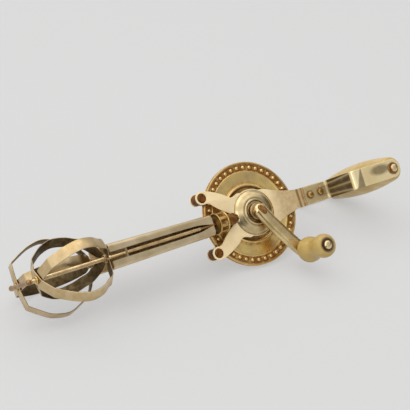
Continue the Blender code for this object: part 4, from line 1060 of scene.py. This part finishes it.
def strap_lift(over, here):
    """Flutes pressed into the leg, which fan out a little as they rise."""
    run = up_leg(abs(here.y), 3.0)
    if not 0.0 < run < 1.0:
        return 0.0
    fade = min(1.0, 5 * run, 5 * (1 - run))
    return 0.38 * fade * math.cos(2 * math.pi * over * (1.6 - 0.45 * run))


def strap_shape(side):
    """A strap from its start on the neck to its round end on the grip's bolt."""
    corners = [(STRAP_START_X, side * STRAP_NECK), (STRAP_LEG_X + STRAP_LEG_LEAN, side * STRAP_NECK),
               (STRAP_LEG_X - STRAP_LEG_LEAN, side * STRAP_OUTER), (GRIP_X, side * STRAP_OUTER)]
    rough = soften(corners, STRAP_BEND_RADIUS, 10)
    path = []
    for (x0, y0), (x1, y1) in zip(rough, rough[1:]):
        pieces = max(1, round(math.hypot(x1 - x0, y1 - y0) / 0.8))
        path += [(x0 + (x1 - x0) * k / pieces, y0 + (y1 - y0) * k / pieces) for k in range(pieces)]
    path.append(rough[-1])
    widths = [STRAP_HALF_WIDTH] * len(path)
    for k in range(1, 13):
        swing = 0.5 * math.pi * k / 12
        path.append((GRIP_X + STRAP_HALF_WIDTH * math.sin(swing), side * STRAP_OUTER))
        widths.append(max(0.5, STRAP_HALF_WIDTH * math.cos(swing)))
    return bar(path, widths, STRAP_THICKNESS, 0.3, 3, strap_lift, 24)


def drilled(x, z, radius, low, high):
    """A round cutter along y through (x, z)."""
    return on_axle(turned([(low, radius), (high, radius)], 32), 1, (x, z))


def strap_tarnish_and_shade(x, y, z):
    """Brown painted shade on the fluted leg with painted highlights along its crests, tarnish round each
    rivet, painted shade where it bends up from the neck and in a band on the run past the fold, and a
    darkened patch further along the run.
    """
    depth = abs(y)
    run = up_leg(depth, 2.5)
    if 0.0 < run < 1.0:
        # Painted shade on the leg, lighter on the flutes' crests as painted highlights.
        crest = max(0.0, math.cos(2 * math.pi * z / STRAP_HALF_WIDTH * (1.6 - 0.45 * run)))
        return 0.92 - 0.42 * crest ** 3
    if depth < 5.0:
        near = min(math.hypot(x - rivet, z) for rivet in RIVET_RUN)
        # Painted shade in the middle of the strap where it bends up into the leg.
        pinch = 0.5 if x > STRAP_LEG_X - 4.0 and abs(z) < 3.4 else 0.26
        return 0.7 if near < 3.2 else 0.35 if near < 3.8 else pinch
    # Painted shade in a band just past the fold over to the grip.
    if abs(x - 74.6 - 0.25 * z) < 2.0 - 0.22 * z:
        return 0.66
    patch = math.hypot((x - 93.2) / 10.5, (z - 1.8) / 4.2)
    return 0.66 * max(0.0, min(1.0, 2.2 - 2 * patch))


strap_finish = worn_metal("strap_brass", STRAP_BRASS, STRAP_SHADE, STRAP_BROWN_AND_SHADE, roughness=(0.18, 0.28),
                          patch=60.0, grain=(10, 10, 60), scratches=0.08, spots=0.1, metal=0.55,
                          dull=1.0, cloudy=(0.97, 1.03))
for side_name, side in SIDES.items():
    outer = side * STRAP_OUTER
    strap_holes = [drilled(x, 0.0, RIVET_HOLE_RADIUS, side * 1.0 - 0.6, side * 3.4 + 0.6)
                   for x in RIVET_RUN] + [drilled(GRIP_X, 0.0, GRIP_BORE, outer - 2.0, outer + 2.0)]
    put(f"handle_bar_{side_name}", cut_away(mesh_of(strap_shape(side), strap_tarnish_and_shade, 45.0), *strap_holes),
        strap_finish, "frame", [f"handle_strap_{side_name}"], "pale_brass")


# Neck rivets. Round-headed brass rivets through both plates and both straps, with brown
# tarnish left in a ring round each head.
RIVET_RADIUS = 1.5
RIVET_HEAD_RADIUS = 2.5
RIVET_HEAD_HEIGHT = 1.1
RIVET_FACE = 3.0
RIVET_EDGE = 0.2
rivet_rise = [(RIVET_FACE, RIVET_HEAD_RADIUS - 0.25), (RIVET_FACE + RIVET_EDGE, RIVET_HEAD_RADIUS)]
rivet_rise += dome(RIVET_FACE + RIVET_EDGE, RIVET_HEAD_RADIUS, RIVET_HEAD_HEIGHT - RIVET_EDGE,
                   range(1, 9), 8.2)
rivet_profile = [(-run, radius) for run, radius in reversed(rivet_rise)]
rivet_profile += [(-RIVET_FACE, RIVET_RADIUS), (RIVET_FACE, RIVET_RADIUS)] + rivet_rise
rivet_finish = worn_metal("rivet_brass", PINION_BRASS, PINION_SHADE, TARNISH, roughness=(0.18, 0.3),
                          patch=300.0, grain=(20, 20, 20))
for name, x in zip(("inner", "outer"), RIVET_RUN):
    put(f"neck_rivet_head_{name}", mesh_of(on_axle(turned(rivet_profile, 40), -1, (x, 0.0)),
                                           lambda x, y, z: 1.0 if abs(y) < RIVET_FACE + 0.72 else 0.1),
        rivet_finish, "frame", [f"neck_rivet_{name}"], "gold_brass")


# Grip. Turned from cream plastic, barrel shaped with rounded ends; yellowed, rubbed shiny,
# with faint turning marks.
GRIP_END_RADIUS = 8.8
GRIP_BULGE = 3.2
CREAM = (0.68, 0.50, 0.20)
CREAM_SHADE = (0.54, 0.36, 0.10)
CREAM_DIRT = (0.33, 0.20, 0.06)
CREAM_SCUFF = (0.86, 0.76, 0.52)
CAKED_DIRT = (0.085, 0.045, 0.018)


def aged_plastic(name, cream, shade, dirt, line_scale):
    """Yellowed cream plastic with cloudy colour, scuffs, turning lines and caked dirt."""
    made, tree, shader = blank_finish(name)
    where = stored(tree, "spot")["Vector"]
    clouds = noise(tree, where, 70.0, 5.0)
    scuffs = noise(tree, where, 420.0, 5.0, (1.0, 0.4, 1.0))
    lines = noise(tree, where, 40.0, 2.0, (0.6, line_scale, 0.6))
    colour = mixed(tree, spread(tree, clouds, 0.36, 0.68), cream, shade)
    colour = mixed(tree, spread(tree, scuffs, 0.62, 0.8, 0.0, 0.45), colour, dirt)
    colour = mixed(tree, spread(tree, scuffs, 0.40, 0.24, 0.0, 0.35), colour, CREAM_SCUFF)
    feed(tree, shader, {
        "Base Color": mixed(tree, stored(tree, "stain_and_painted_light")["Fac"], colour, CAKED_DIRT),
        "Roughness": spread(tree, scuffs, 0.3, 0.7, 0.26, 0.44),
        "Subsurface Weight": 0.06,
        "Subsurface Radius": (0.004, 0.002, 0.001),
        "Coat Weight": 0.15,
        "Normal": bumped(tree, 0.2, 0.0001, scuffs, bumped(tree, 0.25, 0.00008, lines)),
    })
    return made


grip_finish = aged_plastic("grip_cream", CREAM, CREAM_SHADE, CREAM_DIRT, 30.0)
grip_profile = [(-GRIP_HALF_LENGTH, GRIP_BORE), (-GRIP_HALF_LENGTH, GRIP_END_RADIUS - 0.9)]
for k in range(33):
    share = -1 + 2 * k / 32
    grip_profile.append((share * (GRIP_HALF_LENGTH - 0.8),
                         GRIP_END_RADIUS + GRIP_BULGE * (1 - share * share)))
grip_profile += [(GRIP_HALF_LENGTH, GRIP_END_RADIUS - 0.9), (GRIP_HALF_LENGTH, GRIP_BORE)]
grip_shape = turned(soften(grip_profile, 0.5, 3, True), 96, True)
put("grip_barrel", mesh_of(on_axle(grip_shape, 1, (GRIP_X, 0.0))), grip_finish, "frame", ["grip"],
    "cream_plastic")


# Grip bolt, nut and washers. One long brass bolt runs through the grip, with a domed head
# on the crank side, a ring nut at the back and a brown washer under each.
BOLT_RADIUS = 2.0
BOLT_HEAD_RADIUS = 3.1
BOLT_HEAD_HEIGHT = 1.6
BOLT_FACE = 41.3
BOLT_EDGE = 0.25
NUT_RADIUS = 3.5
WASHER_RADIUS = 4.6
WASHER_THICKNESS = 0.6
WASHER_FACE = 40.4
BOLT_BRASS = (0.82, 0.68, 0.42)
WASHER_BROWN = (0.36, 0.165, 0.05)
WASHER_SHADE = (0.20, 0.08, 0.022)
WASHER_GLINT = (0.60, 0.38, 0.14)
bolt_end = BOLT_FACE + BOLT_HEAD_HEIGHT
head_edge = BOLT_FACE + BOLT_EDGE
bolt_profile = [(-bolt_end, 0.3), (-bolt_end, BOLT_RADIUS - 0.4), (-bolt_end + 0.4, BOLT_RADIUS),
                (BOLT_FACE, BOLT_RADIUS), (BOLT_FACE, BOLT_HEAD_RADIUS - 0.3), (head_edge, BOLT_HEAD_RADIUS)]
bolt_profile += dome(head_edge, BOLT_HEAD_RADIUS, BOLT_HEAD_HEIGHT - BOLT_EDGE, range(1, 11), 10.2)
bolt_finish = worn_metal("bolt_brass", BOLT_BRASS, STRAP_SHADE, TARNISH, roughness=(0.14, 0.24),
                         patch=300.0, grain=(20, 20, 20))
put("grip_bolt_head", mesh_of(on_axle(turned(bolt_profile, 48), -1, (GRIP_X, 0.0)),
                              lambda x, y, z: 0.85 if abs(y) < BOLT_FACE + 1.0 else 0.05),
    bolt_finish, "frame", ["grip_bolt"], "pale_brass")
nut = soften([(BOLT_FACE, GRIP_BORE), (BOLT_FACE, NUT_RADIUS), (bolt_end, NUT_RADIUS),
              (bolt_end, GRIP_BORE)], 0.5, 4, True)
put("grip_ring_nut", mesh_of(on_axle(turned(nut, 48, True), 1, (GRIP_X, 0.0)),
                             lambda x, y, z: 0.8 if abs(y) < BOLT_FACE + 0.3 else 0.1),
    bolt_finish, "frame", ["grip_nut"], "pale_brass")
washer_end = WASHER_FACE + WASHER_THICKNESS
washer = soften([(WASHER_FACE, GRIP_BORE), (WASHER_FACE, WASHER_RADIUS), (washer_end, WASHER_RADIUS - 0.3),
                 (washer_end, GRIP_BORE)], 0.2, 2, True)
washer_finish = brown_metal("washer_brown", WASHER_BROWN, WASHER_SHADE, WASHER_GLINT,
                            roughness=(0.3, 0.5))
for side_name, side in SIDES.items():
    put(f"grip_washer_ring_{side_name}", mesh_of(on_axle(turned(washer, 56, True), side, (GRIP_X, 0.0))),
        washer_finish, "frame", [f"grip_washer_{side_name}"], "brown_oxide")


# Crank arm. Pressed from brass sheet into a rounded arm, closed at both ends; polished
# along its crown and darker on its flanks, with a slight knee above the wheel's edge.
CRANK_REACH = 44.6
CRANK_ANGLE = math.radians(-57.3)
ARM_HALF_WIDTH = 5.2
ARM_HALF_DEPTH = 3.3
ARM_OFFSET = 15.6
ARM_PAST_KNOB = 3.0
ARM_KNEE = 1.2
ARM_SQUARENESS = 2.1
PIN_LENGTH = 7.6
PIN_WIDTH = 3.6
KNOB_BORE = 2.1
ARM_BRASS = (0.78, 0.61, 0.33)
ARM_SHADE = (0.50, 0.36, 0.15)
ARM_GRIME = (0.26, 0.15, 0.06)


def along_arm(run, over, out):
    """A point by its run along the arm, over its width, and out from the wheel's plane."""
    return (run * math.cos(CRANK_ANGLE) - over * math.sin(CRANK_ANGLE), -out,
            run * math.sin(CRANK_ANGLE) + over * math.cos(CRANK_ANGLE))


def arm_shape():
    """The arm as oval rings, which close to a round end beyond the axle and the knob."""
    closing = []
    for k in range(14):
        share = math.sin(0.5 * math.pi * (k + 0.3) / 13.3)
        closing.append((-ARM_HALF_WIDTH * share, math.sqrt(1.0001 - share * share)))
    end = CRANK_REACH + ARM_PAST_KNOB - ARM_HALF_WIDTH
    stations = closing[::-1] + [(2.0 * k, 1.0) for k in range(1, 21)]
    stations += [(end - run, size) for run, size in closing]

    def spot(turn, run, size):
        """A point of the oval, which moves over towards the knee."""
        knee = ARM_KNEE * math.sin(math.pi * min(1.0, max(0.0, run / CRANK_REACH)) ** 0.8)
        powers = abs(math.cos(turn)) ** ARM_SQUARENESS + abs(math.sin(turn)) ** ARM_SQUARENESS
        reach = size / powers ** (1 / ARM_SQUARENESS)
        return along_arm(run, math.sin(turn) * ARM_HALF_WIDTH * reach - knee,
                         ARM_OFFSET + math.cos(turn) * ARM_HALF_DEPTH * reach)

    return ringed(stations, 48, spot)


def pin_shape(rows):
    """An oblong pin across the arm, from (out, how much wider than the pin itself) rows."""
    half = PIN_LENGTH / 2 - PIN_WIDTH / 2
    rings = []
    for out, wider in rows:
        radius = PIN_WIDTH / 2 + wider
        outline = arc((half, 0.0), radius, -90, 90, 12) + arc((-half, 0.0), radius, 90, 270, 12)
        rings.append([along_arm(run, over, out) for run, over in outline])
    return loft(rings)


arm_low = ARM_OFFSET - ARM_HALF_DEPTH
arm_high = ARM_OFFSET + ARM_HALF_DEPTH
knob_x, _, knob_z = along_arm(CRANK_REACH, 0.0, 0.0)
arm_finish = worn_metal("arm_brass", ARM_BRASS, ARM_SHADE, ARM_GRIME, roughness=(0.20, 0.32),
                        patch=90.0, grain=(30, 30, 30), scratches=0.3, spots=0.3, marked=False)
arm_mesh = cut_away(mesh_of(arm_shape()), pin_shape([(arm_low + 3.0, 0.25), (arm_high + 1.0, 0.25)]),
                    on_axle(turned([(arm_low - 1.0, KNOB_BORE), (arm_high + 1.0, KNOB_BORE)], 32), -1,
                            (knob_x, knob_z)))
put("crank_lever", arm_mesh, arm_finish, "crank_wheel", ["crank_arm"], "pale_brass")


# Crank pin. The axle's flattened end comes up through an oblong hole in the arm and is
# hammered over; brown oxide with a rubbed top.
PIN_PROUD = 0.28
PIN_CROWN = 0.35
PIN_BROWN = (0.42, 0.20, 0.06)
PIN_SHADE = (0.24, 0.09, 0.025)
PIN_GLINT = (0.66, 0.42, 0.17)
pin_top = arm_high + PIN_PROUD
pin_rows = [(arm_low + 0.1, 0.0), (pin_top - PIN_CROWN, 0.0), (pin_top - 0.3 * PIN_CROWN, -0.2),
            (pin_top, -0.7)]
pin_finish = brown_metal("pin_brown", PIN_BROWN, PIN_SHADE, PIN_GLINT, roughness=(0.3, 0.5))
put("crank_pin_oblong", mesh_of(pin_shape(pin_rows)), pin_finish, "crank_wheel", ["crank_rivet"],
    "brown_oxide")


# Knob screw. A brass screw from the back of the arm through the knob, with a bright domed
# head sunk in a dark ring at the knob's outer end.
KNOB_LENGTH = 28.0
SCREW_RADIUS = 1.8
SCREW_FOOT_RADIUS = 3.0
SCREW_FOOT_DEPTH = 1.0
SCREW_HEAD_RADIUS = 3.2
SCREW_HEAD_HEIGHT = 1.4
knob_base = arm_high + RUNNING_GAP
knob_top = knob_base + KNOB_LENGTH
screw_foot = arm_low - RUNNING_GAP - SCREW_FOOT_DEPTH
under_head = knob_top + RUNNING_GAP
screw_profile = [(screw_foot, 0.3), (screw_foot, SCREW_FOOT_RADIUS - 0.3),
                 (screw_foot + 0.3, SCREW_FOOT_RADIUS), (arm_low - RUNNING_GAP, SCREW_FOOT_RADIUS),
                 (arm_low - RUNNING_GAP, SCREW_RADIUS), (under_head, SCREW_RADIUS)]
screw_profile += dome(under_head, SCREW_HEAD_RADIUS, SCREW_HEAD_HEIGHT, range(11), 10.2)
put("knob_screw_head", mesh_of(on_axle(turned(screw_profile, 48), -1, (knob_x, knob_z)),
                               lambda x, y, z: 0.95 if abs(y) < knob_top + 0.75 else 0.05),
    bolt_finish, "crank_wheel", ["knob_screw"], "pale_brass")


# Knob. Turned cream plastic with two swellings and a waist for thumb and finger, free to
# turn on its screw; a dark ring of dirt sits round the screw's head.
KNOB_CREAM = (0.57, 0.41, 0.135)
KNOB_SHADE = (0.47, 0.31, 0.08)
KNOB_DESIGN = [(0.0, 7.4), (0.06, 8.6), (0.18, 9.3), (0.32, 8.7), (0.48, 7.05), (0.62, 7.5), (0.80, 8.5),
               (0.94, 7.8), (1.0, 6.0)]
knob_run = smooth_path([(knob_base + share * KNOB_LENGTH, radius) for share, radius in KNOB_DESIGN], 6)
knob_profile = [(knob_base, KNOB_BORE), *knob_run, (knob_top - 0.1, 4.6), (knob_top - 0.9, 4.0),
                (knob_top - 0.9, KNOB_BORE)]


def knob_stain(x, y, z):
    """Dirt in the recess round the screw's head."""
    return 0.95 if abs(y) > knob_top - 1.5 and math.hypot(x - knob_x, z - knob_z) < 4.8 else 0.0


knob_finish = aged_plastic("knob_cream", KNOB_CREAM, KNOB_SHADE, CREAM_DIRT, 60.0)
knob_shape = on_axle(turned(knob_profile, 80, True), -1, (knob_x, knob_z))
put("turned_knob", mesh_of(knob_shape, knob_stain, 50.0), knob_finish, "knob", ["knob"], "cream_plastic")


# Table and backdrop. One sheet of pale paper that lies under the mixer and sweeps up far
# behind it, so that no line shows between the two; some of its own tone keeps its shadows faint.
PAPER = (0.64, 0.645, 0.65)
PAPER_SHOWN = (0.73, 0.73, 0.73, 1.0)
PAPER_GLOW_SHARE = 0.56
PAPER_REACH = 2.6
PAPER_TURN = math.radians(-35.3)
SWEEP_START = 1.6
SWEEP_RADIUS = 0.8

paper_made, tree, shader = blank_finish("paper")
clouds = noise(tree, add(tree, "ShaderNodeTexCoord").outputs["Object"], 3.0, 2.0)
feed(tree, shader, {
    "Base Color": mixed(tree, spread(tree, clouds, 0.3, 0.7), PAPER, tuple(c * 0.985 for c in PAPER)),
    "Roughness": 0.85,
    "Specular IOR Level": 0.2,
})
seen = add(tree, "ShaderNodeLightPath").outputs
share = sums(tree, "MULTIPLY", sums(tree, "MAXIMUM", seen["Is Camera Ray"], seen["Is Glossy Ray"]),
             PAPER_GLOW_SHARE)
glow = add(tree, "ShaderNodeEmission", {"Color": PAPER_SHOWN, "Strength": 1.0})
both = add(tree, "ShaderNodeMixShader", {0: share, 1: shader.outputs[0], 2: glow.outputs[0]})
tree.links.new(both.outputs[0], tree.nodes["Material Output"].inputs["Surface"])

sweep = [(-PAPER_REACH, 0.0), (SWEEP_START, 0.0)]
for k in range(1, 11):
    swing = math.radians(9 * k)
    sweep.append((SWEEP_START + SWEEP_RADIUS * math.sin(swing),
                  SWEEP_RADIUS - SWEEP_RADIUS * math.cos(swing)))
sweep.append((SWEEP_START + SWEEP_RADIUS, PAPER_REACH))
paper_mesh = bpy.data.meshes.new("paper")
paper_mesh.from_pydata([(x, y, z) for y, z in sweep for x in (-PAPER_REACH, PAPER_REACH)], [],
                       [(2 * i, 2 * i + 1, 2 * i + 3, 2 * i + 2) for i in range(len(sweep) - 1)])
paper_mesh.shade_smooth()
paper_mesh.materials.append(paper_made)
paper = linked("paper_sweep", paper_mesh)
paper.rotation_euler = (0.0, 0.0, PAPER_TURN)


# Studio light. A wide soft box hangs above and a little behind the table and a narrow one
# stands at the left; the pale room round them has four darker screens for the metal to show.
def soft_box(name, place, aim, size, power):
    """A rectangular lamp at a place, turned towards its aim."""
    light = bpy.data.lights.new(name, "AREA")
    light.shape = "RECTANGLE"
    light.size, light.size_y = size
    light.energy = power
    shown = linked(name, light)
    shown.location = place
    shown.rotation_euler = (Vector(aim) - Vector(place)).to_track_quat("-Z", "Y").to_euler()


soft_box("top_soft_box", place=(-0.15, 0.45, 1.3), aim=(0.0, 0.0, 0.0), size=(1.6, 1.2), power=4.0)
soft_box("left_soft_box", place=(-0.95, -0.75, 0.75), aim=(0.0, 0.0, 0.05), size=(0.5, 0.8), power=1.8)
ROOM_LEVEL = (0.80, 1.25)
ROOM_COLOUR = (1.0, 0.985, 0.965, 1.0)
# Each screen: the way to it, the cosines at which it begins and is full, and the light it leaves.
SCREENS = (((0.50, -0.66, 0.55), 0.72, 0.97, 0.45), ((-0.55, -0.80, 0.22), 0.86, 0.97, 0.12),
           ((0.30, 0.90, 0.30), 0.75, 0.95, 0.15), ((0.95, -0.10, 0.15), 0.88, 0.97, 0.12))
room = bpy.data.worlds.new("room")
bpy.context.scene.world = room
room.use_nodes = True
tree = room.node_tree
outward = add(tree, "ShaderNodeTexCoord").outputs["Generated"]
upward = add(tree, "ShaderNodeSeparateXYZ", {0: outward}).outputs["Z"]
level = spread(tree, upward, 0.0, 0.8, *ROOM_LEVEL)
for toward, edge, core, share in SCREENS:
    facing = add(tree, "ShaderNodeVectorMath", {0: outward, 1: Vector(toward).normalized()},
                 operation="DOT_PRODUCT").outputs["Value"]
    level = sums(tree, "MULTIPLY", level, spread(tree, facing, edge, core, 1.0, share))
feed(tree, tree.nodes["Background"], {"Color": ROOM_COLOUR, "Strength": level})


# Camera. It stands to the left of the crank side and looks down at the mixer, as far away
# as the picture's perspective says, with a long lens; set out in the mixer's own frame.
CAMERA_SPOT = (-460.80, -753.23, -9.15)
CAMERA_RIGHT = (0.83245439, -0.46280645, -0.30467996)
CAMERA_DOWN = (-0.25177403, 0.17388694, -0.95203633)
CAMERA_FORWARD = (0.49358842, 0.86923732, 0.02823030)
CAMERA_LENS = 107.3986
camera_data = bpy.data.cameras.new("studio_camera")
camera_data.sensor_width = 36.0
camera_data.lens = CAMERA_LENS
camera_data.clip_start = 0.05
camera_data.clip_end = 20.0
camera = linked("studio_camera", camera_data)
axes = Matrix((Vector(CAMERA_RIGHT), -Vector(CAMERA_DOWN), -Vector(CAMERA_FORWARD))).transposed()
camera.matrix_world = lying @ Matrix.Translation(Vector(CAMERA_SPOT) * MM) @ axes.to_4x4()
bpy.context.scene.camera = camera
bpy.context.scene.view_settings.view_transform = "Standard"

bpy.context.view_layer.update()
